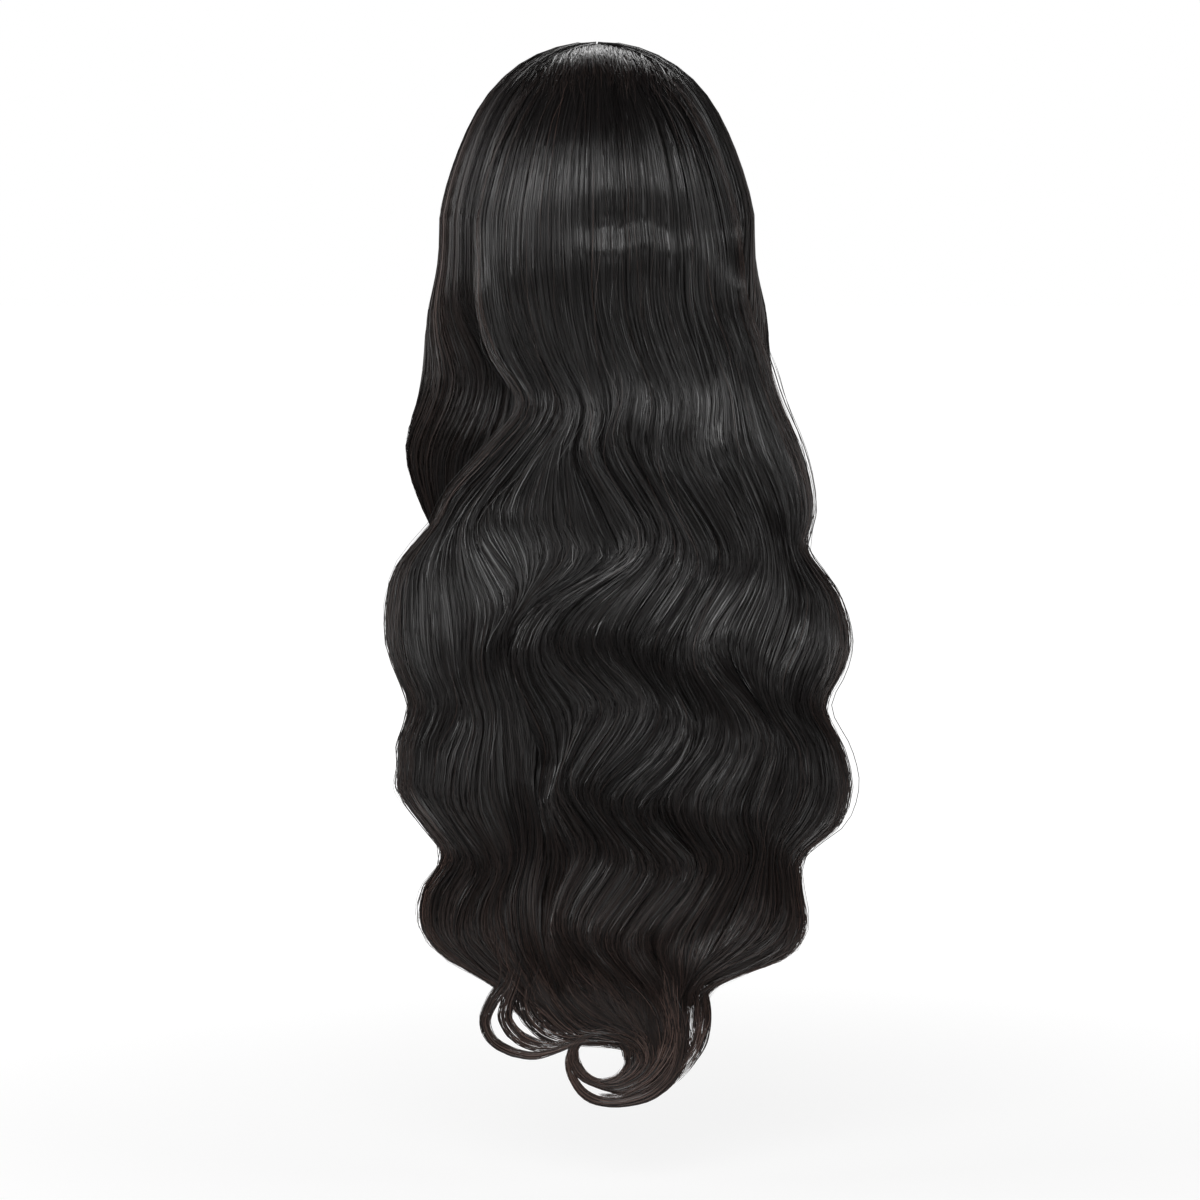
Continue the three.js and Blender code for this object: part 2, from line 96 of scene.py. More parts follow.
# Lines that the strands of the back hair follow, left edge to right edge:
# fall as a share of HANG, then each line as a share of the half width there
LINES = np.array([
    [0.0, -0.75, -0.61, -0.47, -0.33, -0.12, 0.08, 0.3, 0.51, 0.68, 0.88],
    [0.092, -0.75, -0.61, -0.46, -0.31, -0.09, 0.09, 0.32, 0.54, 0.73, 0.95],
    [0.148, -0.66, -0.52, -0.37, -0.23, -0.04, 0.14, 0.37, 0.6, 0.8, 0.99],
    [0.204, -0.45, -0.36, -0.24, -0.1, 0.01, 0.2, 0.41, 0.61, 0.77, 0.97],
    [0.254, -0.59, -0.5, -0.39, -0.15, -0.06, 0.1, 0.3, 0.5, 0.73, 0.96],
    [0.305, -0.75, -0.67, -0.56, -0.07, 0.04, 0.17, 0.35, 0.53, 0.74, 0.91],
    [0.338, -0.79, -0.73, -0.61, -0.02, 0.11, 0.23, 0.41, 0.56, 0.74, 0.86],
    [0.366, -0.88, -0.745, -0.55, 0.02, 0.13, 0.25, 0.45, 0.58, 0.73, 0.8],
    [0.394, -0.955, -0.75, -0.47, -0.12, 0.05, 0.21, 0.42, 0.57, 0.74, 0.86],
    [0.424, -0.985, -0.73, -0.41, -0.35, -0.14, 0.14, 0.34, 0.5, 0.78, 0.94],
    [0.472, -0.99, -0.71, -0.5, -0.45, -0.28, 0.04, 0.27, 0.38, 0.74, 0.99],
    [0.506, -0.95, -0.69, -0.49, -0.44, -0.23, 0.09, 0.3, 0.44, 0.67, 0.96],
    [0.545, -0.89, -0.64, -0.45, -0.38, -0.07, 0.21, 0.38, 0.57, 0.68, 0.88],
    [0.589, -0.94, -0.71, -0.43, -0.3, -0.16, 0.14, 0.33, 0.66, 0.79, 0.95],
    [0.615, -0.935, -0.72, -0.42, -0.315, -0.205, 0.02, 0.235, 0.63, 0.8, 0.98],
    [0.64, -0.94, -0.73, -0.41, -0.33, -0.24, -0.08, 0.15, 0.59, 0.81, 0.99],
    [0.679, -0.83, -0.63, -0.38, -0.29, -0.14, 0.0, 0.23, 0.54, 0.74, 0.94],
    [0.712, -0.74, -0.55, -0.38, -0.28, -0.07, 0.12, 0.35, 0.61, 0.67, 0.78],
    [0.751, -0.83, -0.63, -0.42, -0.31, -0.18, 0.02, 0.27, 0.56, 0.69, 0.77],
    [0.796, -0.84, -0.65, -0.4, -0.32, -0.24, -0.09, 0.13, 0.5, 0.68, 0.79],
    [0.83, -0.735, -0.52, -0.36, -0.29, -0.16, 0.01, 0.18, 0.4, 0.56, 0.7],
    [0.857, -0.53, -0.42, -0.33, -0.25, -0.08, 0.09, 0.26, 0.31, 0.35, 0.39],
    [0.885, -0.45, -0.39, -0.31, -0.23, -0.07, 0.08, 0.2, 0.27, 0.32, 0.38],
    [0.91, -0.33, -0.26, -0.18, -0.08, 0.05, 0.15, 0.22, 0.27, 0.31, 0.35],
    [0.928, -0.16, -0.1, -0.03, 0.04, 0.11, 0.18, 0.24, 0.28, 0.31, 0.34],
])

# How far each line swings out in a wave, -1 to 1
LINE_SWING = np.array([0.35, 0.5, 0.65, 0.85, 1, 1, 1, 0.9, 0.8, 0.6])

# How much later (share of HANG) the swing outwards comes along each of the ten lines, by fall
SWING_LAG = np.array([
    [0.0, 0, 0, 0, 0, 0, 0, 0, 0, 0, 0],
    [0.2, 0, 0, 0, -0.02, -0.048, -0.043, -0.03, -0.012, 0.01, 0.05],
    [0.4, 0.013, 0, -0.01, -0.015, -0.022, -0.022, 0.01, 0.045, 0.067, 0.078],
    [0.58, 0.045, 0.022, -0.015, 0.015, -0.017, -0.015, 0, 0, 0.035, 0.045],
    [0.74, 0.06, 0.05, 0.01, 0.025, -0.01, 0, -0.005, 0.04, 0.055, 0.055],
    [0.93, 0.06, 0.05, 0.01, 0.025, -0.01, 0, -0.005, 0.04, 0.055, 0.055],
])

# Levels where the middle swings fully right (even turns) and left (odd turns)
WAVES = np.array([
    [0.0, -1], [0.165, 0], [0.254, 1], [0.36, 2], [0.467, 3], [0.545, 4],
    [0.64, 5], [0.712, 6], [0.796, 7], [0.857, 8], [0.93, 9],
])

# Back profile: fall, how far out (share of BACK_REACH), how thick (share of BACK_THICKNESS)
PROFILE = np.array([
    [0.0, 1.0, 0.7],
    [0.07, 0.99, 0.8],
    [0.14, 0.975, 0.85],
    [0.2, 0.99, 0.9],
    [0.3, 1.04, 1.0],
    [0.5, 1.09, 1.0],
    [0.65, 1.08, 0.9],
    [0.8, 1.03, 0.6],
    [0.857, 1.0, 0.35],
    [0.93, 0.98, 0.15],
])

# How deep the groove along each line is, 0 to 1
LINE_GROOVE = np.array([0.0, 0.15, 0.3, 0.7, 0.2, 0.3, 0.3, 0.3, 0.4, 0.0])

# How proud each of the nine back locks stands, in millimetres; one of them ends in a sharp fold
LOCK_LIFT = np.array([0.0, 0.5, -2.0, 3.0, 1.0, 0.0, -0.5, 0.5, 1.0])
FOLDED_LOCK = 3

# Front hair in plan: fall, rear edge x and y, middle x and y, front edge x and y, thickness
SIDE = np.array([
    [0.0, 0.76, -0.72, 0.99, -0.05, 0.8, 0.62, 1.0],
    [0.04, 0.745, -0.715, 1.03, -0.06, 0.82, 0.62, 1.0],
    [0.09, 0.72, -0.7, 1.065, -0.08, 0.84, 0.62, 1.0],
    [0.165, 0.5, -0.6, 1.125, -0.1, 0.9, 0.64, 1.0],
    [0.21, 0.48, -0.56, 1.165, -0.04, 0.9, 0.66, 1.0],
    [0.25, 0.5, -0.5, 1.17, 0.05, 0.88, 0.68, 1.0],
    [0.33, 0.66, -0.1, 1.13, 0.3, 0.74, 0.78, 0.95],
    [0.42, 0.86, 0.34, 0.92, 0.62, 0.46, 0.88, 0.9],
    [0.5, 0.94, 0.5, 0.8, 0.72, 0.42, 0.88, 0.85],
    [0.58, 0.92, 0.52, 0.72, 0.74, 0.42, 0.88, 0.75],
    [0.66, 0.82, 0.54, 0.68, 0.74, 0.5, 0.84, 0.5],
    [0.71, 0.7, 0.6, 0.64, 0.72, 0.56, 0.78, 0.25],
])

# The swell of the hair where it leaves the back of the head, line by line: how far below the
# widest level it stands out most, the length of the slope above that, and its height
SWELL_LEVEL = np.array([0.010, 0.018, 0.026, 0.0275, 0.0215, 0.0162, 0.0162, 0.021, 0.026, 0.024])
SWELL_SLOPE = np.array([0.034, 0.040, 0.034, 0.024, 0.0125, 0.0080, 0.0080, 0.0115, 0.024, 0.030])
SWELL_HEIGHT = np.array([0.0020, 0.0042, 0.0042, 0.0034, 0.0030, 0.0029, 0.0029, 0.0028, 0.0034, 0.0020])
SWELL_UNDERSIDE = 0.018  # length of the slope below it

# The crest of the crown, line by line: where the hair turns from the flat top to the back, as
# the length above the widest level, and how deep the hair dips under the middle of the crown
CREST = np.array([0.045, 0.045, 0.047, 0.050, 0.054, 0.057, 0.057, 0.051, 0.045, 0.045])
CREST_LENGTH, CREST_DEPTH = 0.03, 0.0026
CROWN_DIP = np.array([0.0, 0.0, 0.0, 0.0001, 0.0010, 0.0030, 0.0026, 0.0007, 0.0, 0.0])
DIP_ABOVE_SWELL, DIP_LENGTH = 0.0125, 0.012

# Dark hollows between locks: place, fall, half width (lines), half length (fall), depth in millimetres
HOLLOWS = np.array([
    [6.7, 0.797, 0.45, 0.018, 6.0],
    [6.15, 0.688, 0.4, 0.014, 4.0],
    [2.8, 0.62, 0.3, 0.03, 5.0],
    [5.9, 0.807, 0.25, 0.02, 4.0],
    [6.5, 0.26, 0.3, 0.02, 3.0],
    [7.0, 0.327, 0.35, 0.02, 4.0],
    [7.9, 0.36, 0.4, 0.018, 4.0],
    [4.0, 0.70, 0.25, 0.03, 3.0],
])

# Tips drawn along paths of their own: fall, place across (share of half the spread),
# half width in millimetres
TIPS = {
    "curl": np.array([
        [0.796, -0.12, 25], [0.827, -0.11, 27], [0.857, 0.01, 27], [0.885, 0.11, 26],
        [0.917, 0.156, 24.5], [0.941, 0.153, 22.5], [0.962, 0.1, 16.5], [0.973, 0.0, 5],
        [0.969, -0.085, 3], [0.959, -0.154, 3.5], [0.942, -0.192, 4], [0.926, -0.184, 3.4],
        [0.914, -0.137, 3],
    ]),
    "curl_loop": np.array([
        [0.857, 0.197, 7.5], [0.891, 0.248, 7], [0.924, 0.265, 5.6], [0.958, 0.231, 5],
        [0.98, 0.146, 4.3], [0.99, 0.03, 3.2], [0.989, -0.077, 3], [0.978, -0.154, 2.8],
        [0.959, -0.2, 2.5], [0.941, -0.214, 2], [0.926, -0.188, 2],
    ]),
    "ring": np.array([
        [0.9438, 0.0388, 2.5], [0.9295, 0.0335, 3], [0.9161, -0.0095, 3.2], [0.9111, -0.077, 2.8],
        [0.9161, -0.1445, 2.8], [0.9295, -0.1875, 2.6], [0.9485, -0.1875, 2.5], [0.9619, -0.1445, 2.5],
        [0.9669, -0.077, 2.3], [0.9619, -0.0095, 2], [0.9508, 0.0296, 2],
    ]),
    "middle_sweep": np.array([
        [0.79, -0.248, 13.5], [0.83, -0.265, 15], [0.865, -0.222, 15], [0.892, -0.12, 14],
        [0.906, 0.0, 13], [0.922, 0.094, 11], [0.944, 0.12, 8.7], [0.961, 0.069, 5.6],
        [0.97, -0.025, 3.1], [0.965, -0.12, 2.5], [0.95, -0.175, 2.5], [0.932, -0.188, 2],
    ]),
    "left_sweep": np.array([
        [0.785, -0.44, 17], [0.824, -0.42, 17], [0.857, -0.355, 15], [0.883, -0.282, 11],
        [0.908, -0.184, 9.5], [0.914, -0.068, 8], [0.92, 0.043, 7], [0.934, 0.116, 5],
    ]),
    "right_sweep": np.array([
        [0.796, 0.2, 18.5], [0.83, 0.214, 17], [0.863, 0.231, 13.5], [0.897, 0.24, 10],
        [0.928, 0.222, 8], [0.955, 0.171, 6.2], [0.972, 0.094, 5], [0.984, 0.0, 3],
        [0.984, -0.085, 2.5],
    ]),
    "left_tip": np.array([
        [0.824, -0.453, 8.7], [0.852, -0.479, 5.6], [0.874, -0.534, 4.3], [0.897, -0.569, 4],
        [0.919, -0.539, 3.7], [0.932, -0.462, 3.4], [0.937, -0.359, 2.8], [0.931, -0.265, 2.2],
        [0.923, -0.188, 1.9], [0.919, -0.12, 1.9],
    ]),
    "left_middle_tip": np.array([
        [0.824, -0.41, 8.7], [0.852, -0.436, 6.2], [0.877, -0.47, 5], [0.897, -0.479, 5],
        [0.916, -0.428, 5], [0.926, -0.342, 4.3], [0.926, -0.256, 3.1], [0.919, -0.171, 2.5],
    ]),
    "left_inner_tip": np.array([
        [0.824, -0.355, 8.7], [0.852, -0.376, 8], [0.876, -0.388, 8], [0.896, -0.36, 8],
        [0.911, -0.295, 7], [0.918, -0.21, 5.5], [0.916, -0.12, 4.5],
    ]),
    "right_tip": np.array([
        [0.813, 0.308, 8.7], [0.841, 0.317, 6.8], [0.863, 0.342, 6.2], [0.885, 0.359, 6.2],
        [0.908, 0.359, 5.6], [0.928, 0.338, 5], [0.948, 0.291, 4.3], [0.968, 0.222, 3.7],
    ]),
}

TIP_STRANDS = {
    "curl": 400, "curl_loop": 170, "ring": 95, "middle_sweep": 290, "left_sweep": 200, "right_sweep": 200,
    "left_tip": 90, "left_middle_tip": 100, "left_inner_tip": 130, "right_tip": 120,
}

# Share of a tip's path that has a closed core under its strands
TIP_CORES = {"curl": 0.5, "middle_sweep": 0.55, "left_sweep": 0.6, "right_sweep": 0.55}
TIP_THICKNESS = 0.005

# Strands: how many differ from the rest, and how
BOLD_SHARE = 0.3
BOLD_WIDTH, FINE_WIDTH = 1.45, 0.85  # shares of the strand width
STRAND_BASE = (-0.0006, 0.0013)  # least and greatest height over the streaks
WALL_SHARE = 0.06  # strands of a back group that cover the wall at one edge of it
WALL_OFFSET = 0.014  # how far outside the group these lie, in places
STRAND_IDS = 4096  # columns of the UV map, one for each strand's number

# Lengths along the back hair between which a strand has one step, closest where it bends most
STRAND_LEVELS = np.concatenate([
    np.linspace(-HEAD_ARC, -0.02, 8), np.linspace(-0.013, 0.05, 11), np.linspace(0.061, 0.52, 37),
])


# Sizes and colours that a user would change

class WigSizes(bpy.types.PropertyGroup):
    """Sizes of the strands and how many there are."""

    strand_width: FloatProperty(
        name="Strand width", description="Width of one drawn strand of hair", default=0.00038,
        min=0.0001, max=0.003, subtype="DISTANCE", unit="LENGTH", precision=5)
    back_strands: IntProperty(
        name="Back strands", description="Strands in each group of the back hair", default=1700,
        min=10, max=1700)
    front_strands: IntProperty(
        name="Front strands", description="Strands on each side of the parting", default=900,
        min=10, max=1700)
    streak_height: FloatProperty(
        name="Streak height", description="Height of the streaks that bundles of hair form",
        default=0.0011, min=0.0, max=0.006, subtype="DISTANCE", unit="LENGTH", precision=5)
    groove_depth: FloatProperty(
        name="Groove depth", description="Depth of the grooves between locks", default=0.005,
        min=0.0, max=0.012, subtype="DISTANCE", unit="LENGTH", precision=5)
    wave_depth: FloatProperty(
        name="Wave depth", description="How far a wave swings out and in", default=0.0033,
        min=0.0, max=0.012, subtype="DISTANCE", unit="LENGTH", precision=5)


class WigColours(bpy.types.PropertyGroup):
    """Colours of the hair, the cap and the lace."""

    hair: FloatVectorProperty(
        name="Hair", description="Colour of the hair", subtype="COLOR",
        default=(0.0082, 0.0071, 0.0071), min=0.0, max=1.0)
    # Tips colour: partly the hair's own brown ends, partly painted glow standing for light through thin hair
    # and for light the lamps give the lower hair too little of
    tips: FloatVectorProperty(
        name="Tips", description="Warm colour of thin tips and stray hairs", subtype="COLOR",
        default=(0.17, 0.105, 0.086), min=0.0, max=1.0)
    net: FloatVectorProperty(
        name="Net", description="Colour of the cap's net", subtype="COLOR",
        default=(0.018, 0.017, 0.017), min=0.0, max=1.0)
    lace: FloatVectorProperty(
        name="Lace", description="Colour of the lace panel", subtype="COLOR",
        default=(0.42, 0.25, 0.16), min=0.0, max=1.0)


# Curves and noise

def ease(x, low, high):
    """Smooth step from 0 at low to 1 at high."""
    t = np.clip((x - low) / (high - low), 0, 1)
    return t * t * (3 - 2 * t)


def mix(a, b, t):
    """From a at t = 0 to b at t = 1."""
    return a + (b - a) * t


def smooth_rows(rows, at):
    """Smooth values of a table's columns at places along its first column."""
    at = np.asarray(at, float)
    keys, values = rows[:, 0], rows[:, 1:]
    before = np.maximum(np.arange(len(keys)) - 1, 0)
    after = np.minimum(np.arange(len(keys)) + 1, len(keys) - 1)
    slopes = (values[after] - values[before]) / (keys[after] - keys[before])[:, None]
    i = np.clip(np.searchsorted(keys, at, side="right") - 1, 0, len(keys) - 2)
    span = (keys[i + 1] - keys[i])[..., None]
    t = np.clip((at - keys[i])[..., None] / span, 0, 1)
    ends = (2 * t**3 - 3 * t**2 + 1) * values[i] + (3 * t**2 - 2 * t**3) * values[i + 1]
    bends = (t**3 - 2 * t**2 + t) * slopes[i] + (t**3 - t**2) * slopes[i + 1]
    return ends + bends * span


def between(values, place):
    """Value between neighbouring entries of a list; values may hold one list for each place."""
    k = np.clip(np.floor(place).astype(int), 0, values.shape[-1] - 2)
    if values.ndim == 1:
        return mix(values[k], values[k + 1], place - k)
    low = np.take_along_axis(values, k[..., None], -1)[..., 0]
    high = np.take_along_axis(values, k[..., None] + 1, -1)[..., 0]
    return mix(low, high, place - k)


def along_lines(values, place):
    """Smooth value between the entries of a list that holds one for each line."""
    return smooth_rows(np.column_stack([np.arange(len(values)), values]), place)[..., 0]


NOISE_SIZE = 257
NOISE_TABLE = np.random.default_rng(11).random((NOISE_SIZE, NOISE_SIZE))


def noise(x, y, seed=0):
    """Smooth noise from 0 to 1 over a plane."""
    x = np.asarray(x, float) + seed * 17.3
    y = np.asarray(y, float) + seed * 7.7
    xi, yi = np.floor(x).astype(int), np.floor(y).astype(int)
    fx, fy = x - xi, y - yi
    fx, fy = fx * fx * (3 - 2 * fx), fy * fy * (3 - 2 * fy)
    x0, x1, y0, y1 = xi % NOISE_SIZE, (xi + 1) % NOISE_SIZE, yi % NOISE_SIZE, (yi + 1) % NOISE_SIZE
    low = mix(NOISE_TABLE[x0, y0], NOISE_TABLE[x1, y0], fx)
    high = mix(NOISE_TABLE[x0, y1], NOISE_TABLE[x1, y1], fx)
    return mix(low, high, fy)


def unit(v):
    """Vectors of length one."""
    return v / np.maximum(np.linalg.norm(v, axis=-1, keepdims=True), 1e-9)


# Form of the hair

def streaks(place, s, height, seed=0):
    """Height of the bundles of hair: round ridges that run along the strands."""
    wander = place + 0.35 * noise(place * 1.3, s * 9, seed + 1)
    wide = 1 - np.abs(2 * noise(wander * 3.1, s * 9, seed + 2) - 1) ** 1.5
    narrow = 1 - np.abs(2 * noise(wander * 8.3, s * 14, seed + 3) - 1) ** 1.5
    fine = noise(wander * 24, s * 20, seed + 4)
    growing = mix(0.03, 0.08, ease(s, -0.13, -0.03)) + 0.92 * ease(s, -0.01, 0.15)
    return height * growing * (wide - 0.8 + 0.45 * (narrow - 0.7) + 0.22 * (fine - 0.5))


def edge_distance(place):
    """How many places a point is from the nearer edge of the back hair."""
    return np.minimum(place, LAST_LINE - place)


def on_head(x, y):
    """Height of the hair's surface over a point of the head."""
    reach = np.where(y < 0, BACK_REACH, FRONT_REACH)
    left = 1 - (x / HEAD_HALF) ** 2 - (y / reach) ** 2
    return WIDEST + TOP_REACH * np.sqrt(np.maximum(left, 0))


def narrowed(x, z):
    """The crown is slimmer than an oval between the top and the widest level."""
    return x * (1 - HEAD_SLIMMING * np.sin(np.pi * np.clip((z - WIDEST) / CAP_RISE, 0, 1)))


def wave_delay(place, s):
    """How much later the wave comes in some bundles than in others, in metres."""
    inside = ease(edge_distance(place), 0.1, 0.9) * ease(s, 0.03, 0.12)
    wide = 0.016 * (noise(place * 1.2, s * 5, 61) - 0.5)
    narrow = 0.009 * (noise(place * 4.1, s * 8, 62) - 0.5)
    return inside * (wide + narrow)


def head_swell(place, s):
    """How far the hair stands out round the widest level: swell, dip and crest, from low to high."""
    wandering = np.clip(place + 0.45 * (noise(place * 2.3, s * 3, 64) - 0.5), 0, LAST_LINE)
    ragged = 0.007 * (noise(place * 2.6, 0.5, 65) - 0.5) + 0.004 * (noise(place * 8, 0.5, 66) - 0.5)
    below = s - along_lines(SWELL_LEVEL, wandering) - ragged
    length = np.where(below < 0, along_lines(SWELL_SLOPE, wandering), SWELL_UNDERSIDE)
    swell = along_lines(SWELL_HEIGHT, wandering) * np.exp(-((below / length) ** 2))
    dip = along_lines(CROWN_DIP, wandering) * np.exp(-(((below + DIP_ABOVE_SWELL) / DIP_LENGTH) ** 2))
    crest = np.clip((-s - along_lines(CREST, wandering) - ragged) / CREST_LENGTH, 0, 1)
    return swell - dip - CREST_DEPTH * crest


def seam(distance, s):
    """Depth of the crease where the front hair meets the back hair."""
    return SEAM_DEPTH * np.exp(-(distance**2)) * ease(s, -0.12, -0.05) * (1 - ease(s, 0.05, 0.1))


def back_relief(place, fall, sizes):
    """How far the back hair stands out: waves, locks and the grooves between them."""
    outer = ease(np.abs(place - 4.5), 2.0, 4.0)
    uneven = (0.05 + 0.02 * outer) * (noise(place * 2.0, fall * 5, 63) - 0.5)
    lag = between(smooth_rows(SWING_LAG, fall), place) + uneven * ease(fall, 0.1, 0.2)
    turn = smooth_rows(WAVES, np.clip(fall - lag, 0, WAVES[-1, 0]))[..., 0]
    strength = 0.7 + 0.7 * noise(place * 0.8, fall * 5, 6)
    strength = strength * (1 - 0.75 * (1 - ease(place, 1.5, 3)) * (1 - ease(fall, 0.2, 0.3)))
    swing = -between(LINE_SWING, place) * np.cos(np.pi * turn) * strength
    q = place - np.floor(place)
    strip = np.clip(np.floor(place).astype(int), 0, len(LOCK_LIFT) - 1)
    weight = LINE_GROOVE[np.clip(np.round(place).astype(int), 0, LAST_LINE)]
    groove = weight * np.abs(2 * q - 1) ** 4 * (0.3 + 1.1 * noise(np.round(place) * 3.7, fall * 9, 5))
    folded = ease(fall, 0.2, 0.27) * (1 - ease(fall, 0.56, 0.66))
    lift = LOCK_LIFT[strip] * MM * (1 - np.abs(2 * q - 1) ** 6 * (strip != FOLDED_LOCK)) * folded
    wide = ease(fall, 0.05, 0.3)
    hollow = 0.0
    for at, level, width, length, depth in HOLLOWS:
        apart = ((place - at) / width) ** 2 + ((fall - level) / length) ** 2
        hollow = hollow + MM * depth * np.exp(-apart)
    return wide * (sizes.wave_depth * swing - sizes.groove_depth * groove) + lift - hollow


def back_point(place, s, lift, sizes):
    """Point of the back hair; s is the length below the widest level, less than 0 on the head."""
    place, s = np.broadcast_arrays(np.asarray(place, float), np.asarray(s, float))
    fall = np.maximum(s, 0) / HANG
    waved = np.clip(np.maximum(s + wave_delay(place, s), 0) / HANG, 0, LINES[-1, 0])
    spreading = ease(fall, 0.1, 0.4)
    half = mix(HEAD_HALF, BACK_SPREAD / 2, spreading)
    centre = BACK_SHIFT * spreading
    from_edge = edge_distance(place)
    # The lines' turns are rounded by a mean over three levels, except at the edges and at the fold
    rounding = LINE_ROUNDING * ease(from_edge, 0.0, 1.5) * ease(np.abs(place - FOLDED_LOCK), 0.1, 0.8)
    levels = [np.clip(waved + k * rounding, 0, LINES[-1, 0]) for k in (-1, 0, 1)]
    higher, here, lower = (between(smooth_rows(LINES, level), place) for level in levels)
    x = centre + (higher + 2 * here + lower) / 4 * half
    reach = smooth_rows(PROFILE, fall)[..., 0]
    round_y = -BACK_REACH * np.sqrt(np.maximum(1 - (x / HEAD_HALF) ** 2, 0.05))
    wrap = mix(TOP_WRAP_DEPTH, WRAP_DEPTH, ease(fall, 0.2, 0.85))
    hang_y = -BACK_REACH * reach + wrap * ((x - centre) / half) ** 2
    y = mix(round_y, hang_y, ease(fall, 0, mix(0.09, 0.22, ease(from_edge, 0.5, 3))))
    z = WIDEST - fall * HANG
    # On the head the strand runs from the crown to this lowest point
    along = np.sin(np.clip(1 + s / HEAD_ARC, 0, 1) * np.pi / 2)
    share = np.clip(x / HEAD_HALF, -0.97, 0.97)
    root_x = CROWN_RADIUS * share
    root_y = -PARTING_BACK - CROWN_RADIUS * np.sqrt(1 - share**2)
    above = s < 0
    x = np.where(above, mix(root_x, x, along), x)
    y = np.where(above, mix(root_y, y, along), y)
    z = np.where(above, on_head(x, y), z)
    x = narrowed(x, z)
    outwards = unit(np.stack([x, y, z - WIDEST], -1))
    plain = np.zeros_like(outwards)
    plain[..., 1] = -1
    outwards = unit(mix(outwards, plain, ease(fall, 0, 0.15)[..., None]))
    tuck = TUCK_DEPTH * ease(fall, 0.12, 0.21) * (1 - ease(fall, 0.3, 0.68)) * (1 - ease(place, 1.2, 2.8))
    crease = seam(from_edge / SEAM_BACK_WIDTH, s)
    stands = back_relief(place, waved, sizes) + head_swell(place, s) + lift - tuck - crease
    return np.stack([x, y, z], -1) + outwards * stands[..., None], outwards


def back_depth(place, s):
    """Thickness of the back hair."""
    fall = np.maximum(s, 0) / HANG
    thinner = mix(EDGE_THINNESS, 1, ease(edge_distance(place), 0, 1.5))
    rounding = mix(1, thinner, ease(fall, 0.1, 0.3))
    hanging = BACK_THICKNESS * smooth_rows(PROFILE, fall)[..., 1] * rounding
    return mix(BACK_HEAD_THICKNESS, hanging, ease(fall, 0.0, 0.2))


def side_low(t, side):
    """Where the front hair crosses the widest level."""
    rear = math.asin(REAR_EDGE[side]) + EDGE_GAP / HEAD_HALF
    angle = mix(rear, math.radians(FACE_ANGLE), t)
    reach = np.where(np.cos(angle) > 0, BACK_REACH, FRONT_REACH)
    return HEAD_HALF * np.sin(angle), -reach * np.cos(angle)


def side_point(t, s, lift, side):
    """Point of the front hair; t runs from its rear to its front edge, side is -1 or 1."""
    t, s = np.broadcast_arrays(np.asarray(t, float), np.asarray(s, float))
    fall = np.maximum(s, 0) / HANG
    t = 0.5 + (t - 0.5) * (1 - 0.75 * ease(fall, 0.6, 0.77))
    rows = smooth_rows(SIDE, fall) * HEAD_HALF
    turn = smooth_rows(WAVES, fall)[..., 0]
    swing = SIDE_SWING * ease(fall, 0.25, 0.45) * np.cos(np.pi * turn)
    rear_x, rear_y, middle_x, middle_y, front_x, front_y = np.moveaxis(rows[..., :6], -1, 0)

    def through(rear, middle, front, q):
        return rear * (1 - q) * (1 - 2 * q) + middle * 4 * q * (1 - q) + front * q * (2 * q - 1)

    def plan(q):
        hung_x = through(rear_x, middle_x, front_x, q) + swing
        hung_y = through(rear_y, middle_y, front_y, q)
        low_x, low_y = side_low(q, side)
        hung = ease(fall, 0, 0.14)
        return np.stack([mix(low_x, hung_x, hung), mix(low_y, hung_y, hung)], -1)

    here = plan(t)
    run = unit(plan(t + 0.01) - plan(t - 0.01))
    x, y = here[..., 0], here[..., 1]
    z = WIDEST - fall * HANG
    along = np.sin(np.clip(1 + s / HEAD_ARC, 0, 1) * np.pi / 2)
    root_y = mix(-PARTING_BACK, ROOT_FRONT, t)
    above = s < 0
    bow = BROW_BOW * t**4 * np.sin(np.pi * along)
    x = np.where(above, mix(PARTING_GAP, x, along), x)
    y = np.where(above, mix(root_y, y, along) + bow, y)
    z = np.where(above, on_head(x, y), z)
    x = narrowed(x, z)
    radial = unit(np.stack([x, y, z - WIDEST], -1))
    hanging = np.stack([run[..., 1], -run[..., 0], np.zeros_like(x)], -1)
    outwards = unit(mix(radial, hanging, ease(fall, 0, 0.14)[..., None]))
    # The hair lies flat at the parting and rises beside it
    parting = -PARTING_DEPTH * np.exp(-((x / PARTING_WIDTH) ** 2)) * ease(y, -0.015, 0.03) * above
    strength = 0.6 + 0.8 * noise(t * 5, s * 9, 71)
    turns = smooth_rows(WAVES, np.maximum(fall - 0.03, 0))[..., 0] + 0.3 * (noise(t * 4, s * 6, 72) - 0.5)
    wave = -SIDE_WAVE_DEPTH * strength * ease(fall, 0.05, 0.16) * np.cos(np.pi * turns)
    stands = lift + parting + wave - seam(t / SEAM_FRONT_WIDTH, s)
    point = np.stack([x, y, z], -1) + outwards * stands[..., None]
    mirror = np.array([side, 1, 1])
    return point * mirror, outwards * mirror


def side_depth(t, s):
    """Thickness of the front hair."""
    fall = np.maximum(s, 0) / HANG
    rounding = mix(1, EDGE_THINNESS, np.abs(2 * t - 1) ** 3)
    hanging = SIDE_THICKNESS * smooth_rows(SIDE, fall)[..., 6] * rounding
    return mix(SIDE_HEAD_THICKNESS, hanging, ease(fall, 0.0, 0.2))


# Meshes from arrays

